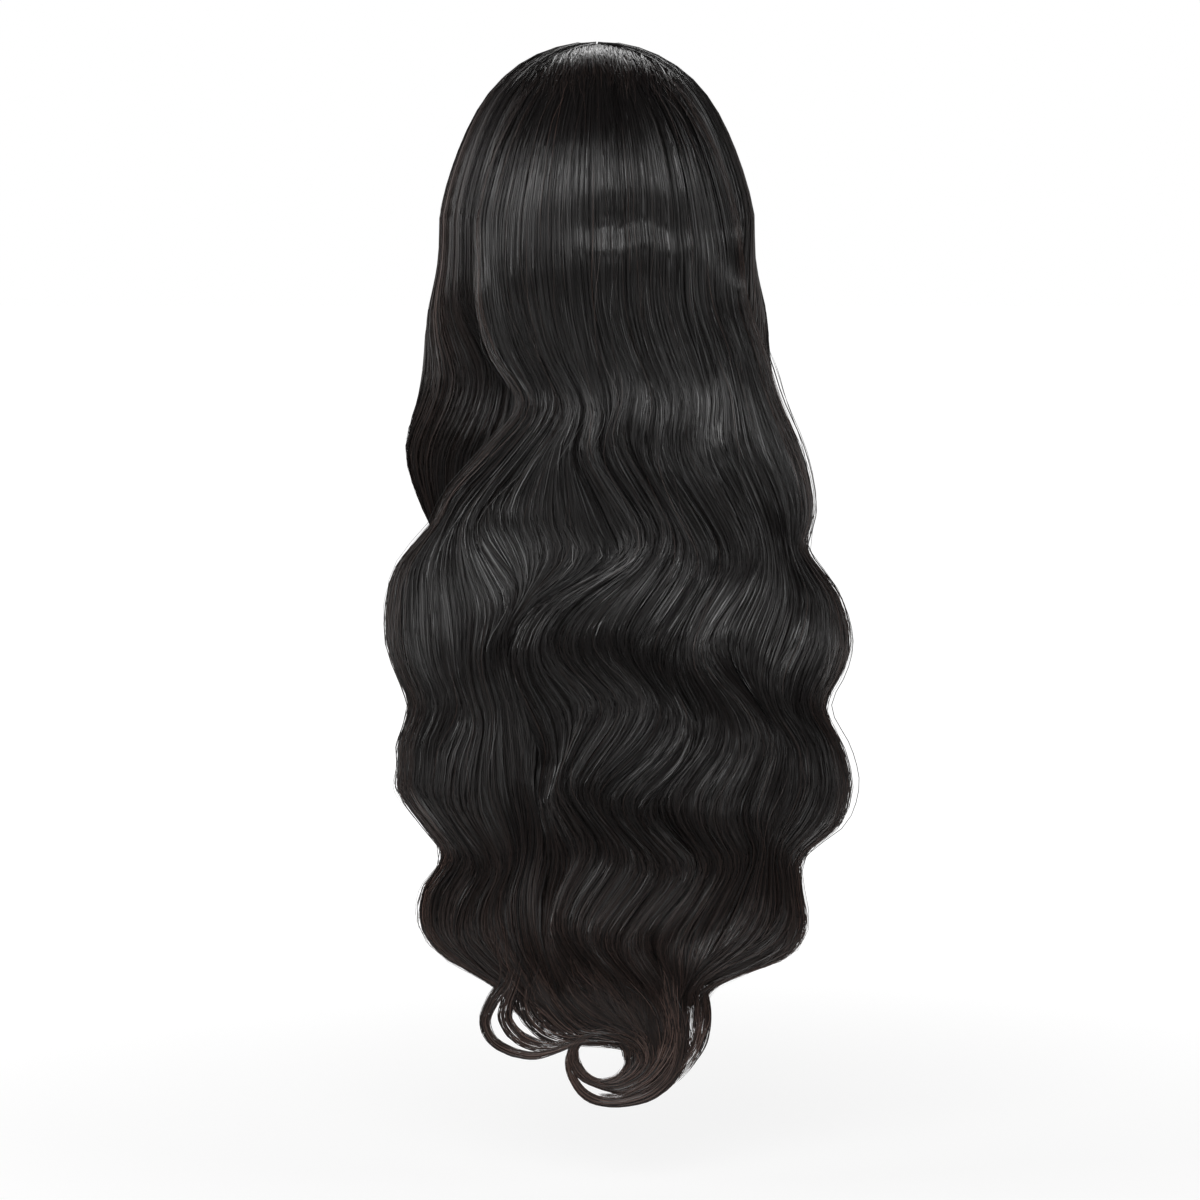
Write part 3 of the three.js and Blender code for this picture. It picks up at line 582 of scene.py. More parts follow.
def mesh_piece(name, points, quads, uvs, material):
    """Object of a smooth mesh of quads, with its UV map called flow."""
    mesh = bpy.data.meshes.new(name)
    mesh.vertices.add(len(points))
    mesh.vertices.foreach_set("co", np.ascontiguousarray(points, np.float32).ravel())
    mesh.loops.add(quads.size)
    mesh.loops.foreach_set("vertex_index", np.ascontiguousarray(quads, np.int32).ravel())
    mesh.polygons.add(len(quads))
    mesh.polygons.foreach_set("loop_start", np.arange(0, quads.size, 4, dtype=np.int32))
    mesh.polygons.foreach_set("use_smooth", np.ones(len(quads), bool))
    mesh.update(calc_edges=True)
    layer = mesh.uv_layers.new(name="flow")
    layer.data.foreach_set("uv", np.ascontiguousarray(uvs[quads.ravel()], np.float32).ravel())
    mesh.materials.append(material)
    piece = bpy.data.objects.new(name, mesh)
    bpy.context.scene.collection.objects.link(piece)
    return piece


def grid_quads(rows, columns, start=0, flip=False):
    """Quads between the points of a grid that are numbered from start, row by row."""
    r, c = np.meshgrid(np.arange(rows - 1), np.arange(columns - 1), indexing="ij")
    a = start + (r * columns + c).ravel()
    quads = np.stack([a, a + 1, a + 1 + columns, a + columns], -1)
    return quads[:, ::-1] if flip else quads


def shell(outer, inner):
    """Points and quads of a closed shell between two grids of points of the same shape."""
    rows, columns = outer.shape[:2]
    count = rows * columns
    points = np.concatenate([outer.reshape(-1, 3), inner.reshape(-1, 3)])
    index = np.arange(count).reshape(rows, columns)
    ring = np.concatenate([index[0, :-1], index[:-1, -1], index[-1, :0:-1], index[:0:-1, 0]])
    following = np.roll(ring, -1)
    wall = np.stack([following, ring, ring + count, following + count], -1)
    quads = np.concatenate([grid_quads(rows, columns), grid_quads(rows, columns, count, True), wall])
    return points, quads


def outward(points, quads):
    """The quads, turned over if the closed mesh would face inwards."""
    a, b, c, d = (points[quads[:, k]] for k in range(4))
    volume = np.einsum("ij,ij->", a, np.cross(b, c)) + np.einsum("ij,ij->", a, np.cross(c, d))
    return quads if volume > 0 else quads[:, ::-1]


def ribbons(name, paths, across, normals, widths, ids, tint_and_glow, rolls, material):
    """One mesh of thin ribbons, one for each strand of points, turned about it by rolls.

    Widths, rolls and the tint hold a value for each point, or one for each strand. The UV map
    holds the strand's number in U and in V its share of the warm tips colour, partly painted glow.
    """
    tangents = unit(np.gradient(paths, axis=1))
    across = unit(across - tangents * np.sum(across * tangents, -1, keepdims=True))
    normals = unit(np.cross(tangents, across) * np.sign(
        np.sum(np.cross(tangents, across) * normals, -1, keepdims=True) + 1e-12))
    direction = across * np.cos(rolls)[..., None] + normals * np.sin(rolls)[..., None]
    offset = direction * (widths / 2)[..., None]
    pairs = np.stack([paths - offset, paths + offset], 2)
    count, steps = paths.shape[:2]
    points = pairs.reshape(-1, 3)
    k, m = np.meshgrid(np.arange(count), np.arange(steps - 1), indexing="ij")
    a = ((k * steps + m) * 2).ravel()
    quads = np.stack([a, a + 1, a + 3, a + 2], -1)
    u = (ids[:, None, None] + np.array([0.25, 0.75])) / STRAND_IDS
    u = np.broadcast_to(u, (count, steps, 2))
    v = np.broadcast_to(np.broadcast_to(tint_and_glow, (count, steps))[..., None], (count, steps, 2))
    uvs = np.stack([u, v], -1).reshape(-1, 2)
    return mesh_piece(name, points, quads, uvs, material)


def hold(piece, *nodes):
    """Makes a piece of hair ride with the wig and stand for the solids named."""
    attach(piece, "root")
    if nodes:
        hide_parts(*nodes)
    return piece


# Materials

def new_material(name):
    """Material with its node tree and its main shader."""
    material = bpy.data.materials.new(name)
    material.use_nodes = True
    tree = material.node_tree
    return material, tree, tree.nodes["Principled BSDF"]


def link(tree, start, end):
    """Joins an output to an input."""
    tree.links.new(start, end)


def add(tree, kind, **settings):
    """New node of a kind."""
    node = tree.nodes.new(kind)
    for name, value in settings.items():
        setattr(node, name, value)
    return node


def math_node(tree, operation, first, second):
    """Output of a Math node whose inputs are numbers or sockets."""
    node = add(tree, "ShaderNodeMath", operation=operation)
    for socket, value in zip(node.inputs, (first, second)):
        if isinstance(value, (int, float)):
            socket.default_value = value
        else:
            link(tree, value, socket)
    return node.outputs[0]


def hair_material(name, colours, strands):
    """Black hair, warmer and lighter in the tips and at the edges: partly brown ends, partly painted glow;
    strands is True for the ribbons.
    """
    material, tree, shader = new_material(name)
    flow = add(tree, "ShaderNodeUVMap", uv_map="flow")
    parts = add(tree, "ShaderNodeSeparateXYZ")
    link(tree, flow.outputs[0], parts.inputs[0])
    if strands:
        which = math_node(tree, "FLOOR", math_node(tree, "MULTIPLY", parts.outputs[0], STRAND_IDS), 0)
        random = add(tree, "ShaderNodeTexWhiteNoise", noise_dimensions="1D")
        link(tree, which, random.inputs["W"])
        variation = random.outputs["Value"]
    else:
        # Long narrow streaks: many across the hair, few along it
        scaled = add(tree, "ShaderNodeMapping")
        scaled.inputs["Scale"].default_value = (150, 9, 1)
        link(tree, flow.outputs[0], scaled.inputs[0])
        random = add(tree, "ShaderNodeTexNoise", noise_dimensions="2D")
        random.inputs["Scale"].default_value = 1
        random.inputs["Detail"].default_value = 4
        random.inputs["Roughness"].default_value = 0.65
        link(tree, scaled.outputs[0], random.inputs["Vector"])
        variation = random.outputs["Fac"]
        bump = add(tree, "ShaderNodeBump")
        bump.inputs["Strength"].default_value = 0.8
        bump.inputs["Distance"].default_value = 0.0014
        link(tree, variation, bump.inputs["Height"])
        link(tree, bump.outputs[0], shader.inputs["Normal"])
    # V of the UV map, times a random share for each strand, mixes in the tips colour: partly the hair's own
    # brown ends, partly painted glow of light through thin hair and painted light where the lamps reach
    # little
    varied = math_node(tree, "MULTIPLY", variation, variation)
    tint_and_glow = math_node(tree, "MULTIPLY", parts.outputs[1], varied)
    colour = add(tree, "ShaderNodeMix", data_type="RGBA")
    colour.inputs["A"].default_value = (*colours.hair, 1)
    colour.inputs["B"].default_value = (*colours.tips, 1)
    link(tree, tint_and_glow, colour.inputs["Factor"])
    link(tree, colour.outputs["Result"], shader.inputs["Base Color"])
    rough = add(tree, "ShaderNodeMapRange")
    rough.inputs["To Min"].default_value = 0.24
    rough.inputs["To Max"].default_value = 0.56
    link(tree, variation, rough.inputs["Value"])
    link(tree, rough.outputs[0], shader.inputs["Roughness"])
    shader.inputs["Anisotropic"].default_value = 0.75
    tangent = add(tree, "ShaderNodeTangent", direction_type="UV_MAP", uv_map="flow")
    link(tree, tangent.outputs[0], shader.inputs["Tangent"])
    shader.inputs["IOR"].default_value = 1.55
    return material


NET_CELLS, LACE_CELLS = 420, 700  # cells in a metre of net and of lace


def net_material(name, colour, cells_in_metre, roughness):
    """Fine knitted net: a small honeycomb of threads."""
    material, tree, shader = new_material(name)
    place = add(tree, "ShaderNodeTexCoord")
    cells = add(tree, "ShaderNodeTexVoronoi", feature="DISTANCE_TO_EDGE")
    cells.inputs["Scale"].default_value = cells_in_metre
    cells.inputs["Randomness"].default_value = 0.35
    link(tree, place.outputs["Object"], cells.inputs["Vector"])
    thread = add(tree, "ShaderNodeMapRange", interpolation_type="SMOOTHSTEP")
    thread.inputs["From Min"].default_value = 0.03
    thread.inputs["From Max"].default_value = 0.16
    thread.inputs["To Min"].default_value = 1.0
    thread.inputs["To Max"].default_value = 0.0
    link(tree, cells.outputs["Distance"], thread.inputs["Value"])
    shade = add(tree, "ShaderNodeMix", data_type="RGBA")
    shade.inputs["A"].default_value = (*(0.45 * c for c in colour), 1)
    shade.inputs["B"].default_value = (*colour, 1)
    link(tree, thread.outputs[0], shade.inputs["Factor"])
    link(tree, shade.outputs["Result"], shader.inputs["Base Color"])
    bump = add(tree, "ShaderNodeBump")
    bump.inputs["Strength"].default_value = 0.6
    bump.inputs["Distance"].default_value = 0.0004
    link(tree, thread.outputs[0], bump.inputs["Height"])
    link(tree, bump.outputs[0], shader.inputs["Normal"])
    shader.inputs["Roughness"].default_value = roughness
    return material


def hair_materials(colours):
    """Materials of the closed bodies and of the strands, made the first time they are asked for."""
    made = bpy.data.materials
    body = made.get("hair_body") or hair_material("hair_body", colours, False)
    strand = made.get("hair_strands") or hair_material("hair_strands", colours, True)
    return body, strand


# Hair pieces

def body_levels(end, head_rows, hanging_rows):
    """Lengths of a body's rows, from the crown to its lower end."""
    head = np.linspace(-HEAD_ARC, 0, head_rows, endpoint=False)
    return np.concatenate([head, np.linspace(0, end, hanging_rows)])


def body_piece(name, outer, inner, u, v, material, *nodes):
    """Closed body between two grids of points, with the U and V of the outer grid."""
    points, quads = shell(outer, inner)
    uvs = np.stack([np.concatenate([u.ravel(), u.ravel() + 0.05]), np.tile(v.ravel(), 2)], -1)
    return hold(mesh_piece(name, points, outward(points, quads), uvs, material), *nodes)


def back_body(name, first, last, sizes, material, *nodes):
    """Closed body of one group of back hair, under its strands."""
    columns = (last - first) * 18 + 1
    place = np.linspace(first + 0.004, last - 0.004, columns)
    p, q = np.meshgrid(place, body_levels(BACK_BODY_END * HANG, 22, 96))
    height = streaks(p, q, sizes.streak_height) - BODY_SINK
    outer, outwards = back_point(p, q, height, sizes)
    inner = outer - outwards * back_depth(p, q)[..., None]
    # More of the tips colour lower down: partly the hair's own brown ends, partly painted light for the
    # lower hair that the lamps reach little
    v = 0.2 * ease(q, 0.7 * HANG, 0.9 * HANG) + 0.2 * (q / HANG)
    return body_piece(name, outer, inner, p / LAST_LINE, v, material, *nodes)


def stepped(start, end, steps):
    """Lengths from start to end for each strand, spaced as STRAND_LEVELS."""
    index = np.arange(len(STRAND_LEVELS))
    first, last = np.interp(start, STRAND_LEVELS, index), np.interp(end, STRAND_LEVELS, index)
    return np.interp(mix(first[:, None], last[:, None], np.linspace(0, 1, steps)), index, STRAND_LEVELS)


def strand_widths(rng, bold, thin, sizes):
    """Width of each strand at each of its steps."""
    share = np.where(bold, BOLD_WIDTH, FINE_WIDTH)
    return sizes.strand_width * share * rng.uniform(0.7, 1.3, bold.shape) * thin[None]


def back_strands(name, first, last, count, seed, sizes, material):
    """Strands over one group of back hair."""
    rng = np.random.default_rng(seed)
    steps = 56
    start = np.where(rng.random(count) < 0.6, -HEAD_ARC, rng.uniform(-HEAD_ARC, 0.22 * HANG, count))
    end = HANG * np.clip(rng.normal(0.885, 0.02, count), 0.8, 0.91)
    t = np.linspace(0, 1, steps)
    s = stepped(start, end, steps)
    root = rng.uniform(first, last, count)[:, None]
    drift = 0.22 * (noise(root * 0.9, s * 7, 21) - 0.5) + 0.16 * (noise(root * 40, s * 6, 22) - 0.5)
    drift = drift + 0.05 * (noise(root * 70, s * 24, 26) - 0.5)
    place = np.clip(root + drift * ease(s, -0.05, 0.12), 0.02, 8.98)
    wall = rng.random((count, 1)) < WALL_SHARE
    beside_wall = last + WALL_OFFSET if last == LAST_LINE else first - WALL_OFFSET
    place = np.where(wall, beside_wall, place)
    bold = rng.random((count, 1)) < BOLD_SHARE
    base = rng.uniform(*STRAND_BASE, (count, 1))
    stray = 0.0018 * (noise(root * 60, s * 14, 23) - 0.5) + 0.0014 * (noise(root * 90, s * 45, 25) - 0.5)
    stray = stray * mix(0.15, 1.0, ease(s, 0.02, 0.14))
    sink = -0.003 * (1 - ease(t, 0, 0.06))[None] * (start > -HEAD_ARC + 1e-6)[:, None]
    lift = streaks(place, s, sizes.streak_height) + base + stray + sink
    lift = lift - wall * rng.uniform(0.0, 1.0, (count, 1)) * back_depth(place, s) * ease(s, 0.0, 0.08)
    path, outwards = back_point(place, s, lift, sizes)
    close = streaks(place + 0.02, s, sizes.streak_height) + base + stray
    across = back_point(place + 0.02, s, close, sizes)[0] - path
    # At the outer edges some strands hang a little apart
    fringe = ~wall * rng.exponential(0.0019, (count, 1)) * (1 - ease(edge_distance(place), 0.0, 0.5))
    path[..., 0] += np.where(place > 4.5, 1, -1) * fringe * noise(root * 31, s * 12, 27) * ease(s, 0.03, 0.1)
    roll = rng.normal(0, 0.5, (count, 1)) + 0.8 * (noise(root * 50, s * 11, 24) - 0.5) + wall * np.pi / 2
    thin = mix(1.0, 0.2, ease(t, 0.85, 1.0))
    width = strand_widths(rng, bold, thin, sizes)
    # At the outer edges the strands take more of the tips colour: a painted glow of light shining through
    # the thin hair there. Lower down they take more too: partly the hair's own brown ends, partly painted
    # light for the lower hair that the lamps reach little
    edge = 1 - ease(edge_distance(place), 0.0, 0.35)
    tint_and_glow = 0.01 + 0.04 * ease(s, 0.1, 0.6 * HANG) + 0.42 * ease(s, 0.6 * HANG, 0.9 * HANG)
    tint_and_glow = tint_and_glow + edge * (0.35 + 0.5 * ease(s, 0.5 * HANG, 0.8 * HANG))
    ids = rng.integers(0, STRAND_IDS - 1, count)
    return hold(ribbons(name, path, across, outwards, width, ids, tint_and_glow, roll, material))


def side_body(name, side, sizes, material, *nodes):
    """Closed body of the front hair on one side, with a ragged lower end."""
    columns = 56
    p, q = np.meshgrid(np.linspace(0, 1, columns), body_levels(FRONT_BODY_END * HANG, 20, 76))
    q = q * (1 - 0.09 * noise(p * 9, 0.5, 91) * ease(q, 0.4 * HANG, FRONT_BODY_END * HANG))
    height = streaks(p * 6, q, sizes.streak_height, 40 + side) - BODY_SINK
    outer, outwards = side_point(p, q, height, side)
    inner = outer - outwards * side_depth(p, q)[..., None]
    # More of the tips colour further down: partly the hair's own brown ends, partly painted light for the
    # lower hair that the lamps reach little
    v = (q + HEAD_ARC) / (HANG + HEAD_ARC)
    return body_piece(name, outer, inner, p, v, material, *nodes)


def side_strands(name, side, count, seed, sizes, material):
    """Strands over the front hair on one side."""
    rng = np.random.default_rng(seed)
    steps = 42
    start = np.full(count, -HEAD_ARC)
    end = HANG * np.clip(rng.normal(0.71, 0.022, count), 0.6, 0.765)
    t = np.linspace(0, 1, steps)
    s = mix(start[:, None], end[:, None], t[None])
    root = rng.uniform(0, 1, count)[:, None]
    drift = 0.035 * (noise(root * 6, s * 7, 31) - 0.5) + 0.02 * (noise(root * 200, s * 6, 32) - 0.5)
    sway = 0.05 * ease(s, 0.03, 0.1) * np.cos(2 * np.pi * (s - 0.107) / 0.1)
    place = np.clip(root + drift * ease(s, -0.05, 0.12) - sway * np.sin(np.pi * root), 0.0, 1.0)
    bold = rng.random((count, 1)) < BOLD_SHARE
    base = rng.uniform(*STRAND_BASE, (count, 1))
    stray = 0.0016 * (noise(root * 300, s * 14, 33) - 0.5) + 0.0011 * (noise(root * 450, s * 45, 35) - 0.5)
    stray = stray * mix(0.15, 1.0, ease(s, 0.02, 0.14))
    lift = streaks(place * 6, s, sizes.streak_height, 40 + side) + base + stray
    path, outwards = side_point(place, s, lift, side)
    close = streaks(place * 6 + 0.02, s, sizes.streak_height, 40 + side) + base + stray
    across = side_point(place + 0.02 / 6, s, close, side)[0] - path
    roll = rng.normal(0, 0.42, (count, 1)) + 0.8 * (noise(root * 250, s * 11, 34) - 0.5)
    thin = mix(1.0, 0.35, ease(t, 0.7, 1.0))
    width = strand_widths(rng, bold, thin, sizes)
    # A strip of the front hair near the head takes much of the warm tips colour: painted glow of light
    # shining through the thin side hair
    glow_strip = np.exp(-(((place - 0.4) / 0.2) ** 2))
    tint_and_glow = 0.03 + 0.5 * ease(s, -0.12, 0.0) * (1 - 0.6 * ease(s, 0.05, 0.1)) * glow_strip
    ids = rng.integers(0, STRAND_IDS - 1, count)
    return hold(ribbons(name, path, across, outwards, width, ids, tint_and_glow, roll, material))


def stray_hairs(name, count, seed, sizes, material):
    """Loose hairs that leave the surface of the back hair, half of them near its edges."""
    rng = np.random.default_rng(seed)
    steps = 14
    t = np.linspace(0, 1, steps)[None]
    at_edge = rng.random((count, 1)) < 0.5
    side = np.where(rng.random((count, 1)) < 0.5, 0, LAST_LINE)
    near_edge = np.abs(side - rng.uniform(0.02, 0.35, (count, 1)))
    root = np.where(at_edge, near_edge, rng.uniform(0.3, 8.7, (count, 1)))
    start = rng.uniform(-0.12, 0.7 * HANG, (count, 1))
    s = start + rng.uniform(0.04, 0.11, (count, 1)) * t
    rise = np.sin(np.pi * np.minimum(t * rng.uniform(0.5, 1.0, (count, 1)), 1))
    lift = 0.001 + rng.uniform(0.0, 0.004, (count, 1)) * rise
    place = root + rng.normal(0, 0.25, (count, 1)) * t * ~at_edge
    path, outwards = back_point(np.clip(place, 0.02, 8.98), s, lift, sizes)
    apart = np.where(at_edge, np.where(side > 0, 1, -1), rng.choice([-1, 1], (count, 1)))
    away = rng.uniform(0.0005, 0.005, (count, 1)) * rise * ease(s, 0.0, 0.08)
    path[..., 0] += apart * away + 0.002 * (noise(root * 77, s * 40, 41) - 0.5)
    across = np.zeros_like(path)
    across[..., 0] = 1
    roll = rng.uniform(-0.8, 0.8, (count, 1))
    width = 0.6 * sizes.strand_width * np.sin(np.pi * np.clip(t, 0.12, 0.9)) ** 0.5
    tint_and_glow = rng.uniform(0.1, 0.6, (count, 1))
    ids = rng.integers(0, STRAND_IDS - 1, count)
    return hold(ribbons(name, path, across, outwards, width, ids, tint_and_glow, roll, material))


def crown_strands(name, count, seed, sizes, material):
    """Short strands behind the parting, where the hair of all groups meets."""
    rng = np.random.default_rng(seed)
    steps = 14
    t = np.linspace(0, 1, steps)[None]
    close = rng.random((count, 1)) < 0.35
    x = np.clip(rng.normal(0, 0.026, (count, 1)), -0.055, 0.055) * np.where(close, 0.3, 1)
    y = rng.uniform(-0.040, -0.012, (count, 1)) + 0.006 * close - 0.15 * np.abs(x)
    wander = 0.15 * (noise(x * 300, t * 3, 81) - 0.5)
    turn = np.arctan2(x, y - 0.06) + rng.normal(0, 0.12, (count, 1)) + wander
    length = rng.uniform(0.02, 0.056, (count, 1)) * (1 - 8 * np.abs(x)) * t
    x = x + np.sin(turn) * length
    y = y + np.cos(turn) * length
    z = on_head(x, y)
    x = narrowed(x, z)
    outwards = unit(np.stack([x, y, z - WIDEST], -1))
    lift = rng.uniform(0.0, 0.0009, (count, 1)) - 0.0025 * (1 - ease(t, 0, 0.2)) - 0.0025 * ease(t, 0.75, 1)
    path = np.stack([x, y, z], -1) + outwards * lift[..., None]
    across = np.cross(np.gradient(path, axis=1), outwards)
    roll = rng.normal(0, 0.25, (count, 1))
    width = sizes.strand_width * rng.uniform(0.5, 1.0, (count, 1))
    ids = rng.integers(0, STRAND_IDS - 1, count)
    return hold(ribbons(name, path, across, outwards, width, ids, 0.15, roll, material))


def tip_path(rows, t):
    """Points along a tip's path, with the width and depth of the lock there."""
    line = np.column_stack([np.linspace(0, 1, len(rows)), rows])
    values = smooth_rows(line, t)
    fall, across, half = values[..., 0], values[..., 1], values[..., 2] * MM
    x = BACK_SHIFT + across * BACK_SPREAD / 2
    z = WIDEST - fall * HANG
    depth = np.minimum(half, TIP_THICKNESS + half / 4)
    out = smooth_rows(PROFILE, np.minimum(fall, PROFILE[-1, 0]))[..., 0]
    return x, z, half, depth, -BACK_REACH * out + depth


def tip_strands(name, rows, count, seed, sizes, material):
    """Sheaf of strands along a tip's path."""
    rng = np.random.default_rng(seed)
    steps = 32
    start = rng.uniform(0.0, 0.12, count)
    end = np.clip(1 - np.abs(rng.normal(0, 0.11, count)), 0.45, 1.0)
    share = np.linspace(0, 1, steps)
    t = mix(start[:, None], end[:, None], share[None])
    x, z, half, depth, y = tip_path(rows, t)
    forward = unit(np.stack([np.gradient(x, axis=1), np.zeros_like(x), np.gradient(z, axis=1)], -1))
    sideways = np.stack([-forward[..., 2], np.zeros_like(x), forward[..., 0]], -1)
    angle = rng.uniform(0, 2 * np.pi, (count, 1))
    angle = angle + 0.8 * (noise(rng.uniform(0, 90, (count, 1)), t * 5, 51) - 0.5)
    reach = np.sqrt(rng.uniform(0, 1, (count, 1))) * (1 + 0.25 * (noise(angle * 9, t * 7, 52) - 0.5))
    a, b = reach * np.cos(angle), reach * np.sin(angle)
    path = np.stack([x, y + depth * b, z], -1) + sideways * (half * a)[..., None]
    outwards = np.zeros_like(path)
    outwards[..., 1] = -1
    roll = rng.normal(0, 0.4, (count, 1))
    thin = mix(1.0, 0.3, ease(share, 0.6, 1.0))
    width = sizes.strand_width * rng.uniform(0.6, 1.1, (count, 1)) * thin[None]
    # More of the tips colour towards each end: partly the hair's own brown ends, partly painted glow of
    # light through the thin tips
    tint_and_glow = 0.45 + 1.3 * t
    ids = rng.integers(0, STRAND_IDS - 1, count)
    return hold(ribbons(name, path, sideways, outwards, width, ids, tint_and_glow, roll, material))


def tip_core(name, rows, length, material):
    """Closed core of a tip, a flattened tube that tapers to both ends."""
    steps, around = 36, 16
    t = np.linspace(0, length, steps)
    x, z, half, depth, y = tip_path(rows, t)
    forward = unit(np.stack([np.gradient(x), np.zeros_like(x), np.gradient(z)], -1))
    sideways = np.stack([-forward[:, 2], np.zeros_like(x), forward[:, 0]], -1)
    size = 0.02 + 0.72 * np.sin(np.pi * np.linspace(0, 1, steps)) ** 0.4
    angle = np.linspace(0, 2 * np.pi, around, endpoint=False)
    centre = np.stack([x, y, z], -1)[:, None]
    points = centre + sideways[:, None] * (half * size)[:, None, None] * np.cos(angle)[:, None]
    points[..., 1] += (depth * size)[:, None] * np.sin(angle)
    index = np.arange(steps * around).reshape(steps, around)
    turned = np.roll(index, -1, axis=1)
    tube = np.stack([index[:-1], turned[:-1], turned[1:], index[1:]], -1).reshape(-1, 4)
    k = np.arange(around // 2 - 1)
    lid = np.stack([k, around - 1 - k, around - 2 - k, k + 1], -1)
    quads = np.concatenate([tube, lid, lid[:, ::-1] + (steps - 1) * around])
    points = points.reshape(-1, 3)
    u = np.broadcast_to(0.3 + 0.1 * np.cos(angle), (steps, around)).ravel()
    # V gives the core more of the tips colour towards the tip: partly brown ends, partly painted glow
    v = np.repeat(0.3 + 0.4 * t, around)
    return hold(mesh_piece(name, points, outward(points, quads), np.stack([u, v], -1), material))


class WIG_OT_back_hair(bpy.types.Operator):
    """Builds the three groups of wavy back hair with their strands"""

    bl_idname = "wig.back_hair"
    bl_label = "Back hair"

    def execute(self, context):
        sizes = context.scene.wig_sizes
        body, strand = hair_materials(context.scene.wig_colours)
        for k, (name, first, last) in enumerate(BACK_GROUPS):
            back_body(f"back_body_{name}", first, last, sizes, body, f"back_hair_{name}")
            back_strands(f"back_strands_{name}", first, last, sizes.back_strands, 100 + k, sizes, strand)
        return {"FINISHED"}


class WIG_OT_front_hair(bpy.types.Operator):
    """Builds the parted front hair with its strands"""

    bl_idname = "wig.front_hair"
    bl_label = "Front hair"

    def execute(self, context):
        sizes = context.scene.wig_sizes
        body, strand = hair_materials(context.scene.wig_colours)
        for name, side in (("left", -1), ("right", 1)):
            side_body(f"front_body_{name}", side, sizes, body, f"front_hair_{name}")
            side_strands(f"front_strands_{name}", side, sizes.front_strands, 200 + side, sizes, strand)
        return {"FINISHED"}


class WIG_OT_tips(bpy.types.Operator):
    """Draws the curled ring and the thin tips"""

    bl_idname = "wig.tips"
    bl_label = "Tips"

    def execute(self, context):
        sizes = context.scene.wig_sizes
        body, strand = hair_materials(context.scene.wig_colours)
        for k, (name, rows) in enumerate(TIPS.items()):
            tip_strands(f"tip_{name}", rows, TIP_STRANDS[name], 300 + k, sizes, strand)
        for name, length in TIP_CORES.items():
            tip_core(f"core_{name}", TIPS[name], length, body)
        return {"FINISHED"}


class WIG_OT_stray_hairs(bpy.types.Operator):
    """Draws the loose hairs over the back hair, along its edges and behind the parting"""

    bl_idname = "wig.stray_hairs"
    bl_label = "Stray hairs"

    def execute(self, context):
        sizes = context.scene.wig_sizes
        strand = hair_materials(context.scene.wig_colours)[1]
        stray_hairs("stray_hairs", 760, 400, sizes, strand)
        crown_strands("crown_strands", 800, 401, sizes, strand)
        return {"FINISHED"}


class WIG_OT_cap(bpy.types.Operator):
    """Gives the cap its net and the panel its lace"""

    bl_idname = "wig.cap"
    bl_label = "Cap and lace"

    def execute(self, context):
        colours = context.scene.wig_colours
        finishes = {
            "wig_cap": net_material("cap_net", colours.net, NET_CELLS, 0.85),
            "lace_closure": net_material("lace", colours.lace, LACE_CELLS, 0.7),
        }
        for node, finish in finishes.items():
            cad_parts[node].data.materials.clear()
            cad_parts[node].data.materials.append(finish)
        return {"FINISHED"}


# Studio

CAMERA_PLACE = (0.0019, -3.110, -0.100)
CAMERA_DOWN = 4.49  # degrees that the camera looks down
CAMERA_LENS = 146.25
FLOOR_LEVEL = -0.705
FLOOR_HALF = 30.0

# Soft lights: name, place, point it is aimed at, width and height in metres, power in watts
LIGHTS = [
    ("key", (-0.35, -2.4, 1.1), (0, 0, -0.25), 1.6, 1.0, 33),
    ("high", (-0.35, -1.9, 1.9), (0, 0, -0.2), 1.6, 0.5, 6),
    ("low", (-0.2, -2.6, -0.45), (0, 0, -0.45), 1.6, 0.6, 5),
    ("right", (2.3, -0.8, 0.4), (0, 0, -0.3), 1.2, 1.7, 17),
    ("left", (-2.3, -0.5, 0.4), (0, 0, -0.3), 1.2, 1.7, 34),
    ("rim", (0.0, 2.0, 1.4), (0, 0, -0.1), 2.4, 0.6, 22),
]


def area_light(name, place, target, width, height, power):
    """Rectangular light that faces its target."""
    light = bpy.data.lights.new(name, "AREA")
    light.shape = "RECTANGLE"
    light.size, light.size_y = width, height
    light.energy = power
    holder = bpy.data.objects.new(name, light)
    bpy.context.scene.collection.objects.link(holder)
    holder.location = place
    aim = (np.array(target) - np.array(place)).tolist()
    holder.rotation_euler = Vector(aim).to_track_quat("-Z", "Y").to_euler()


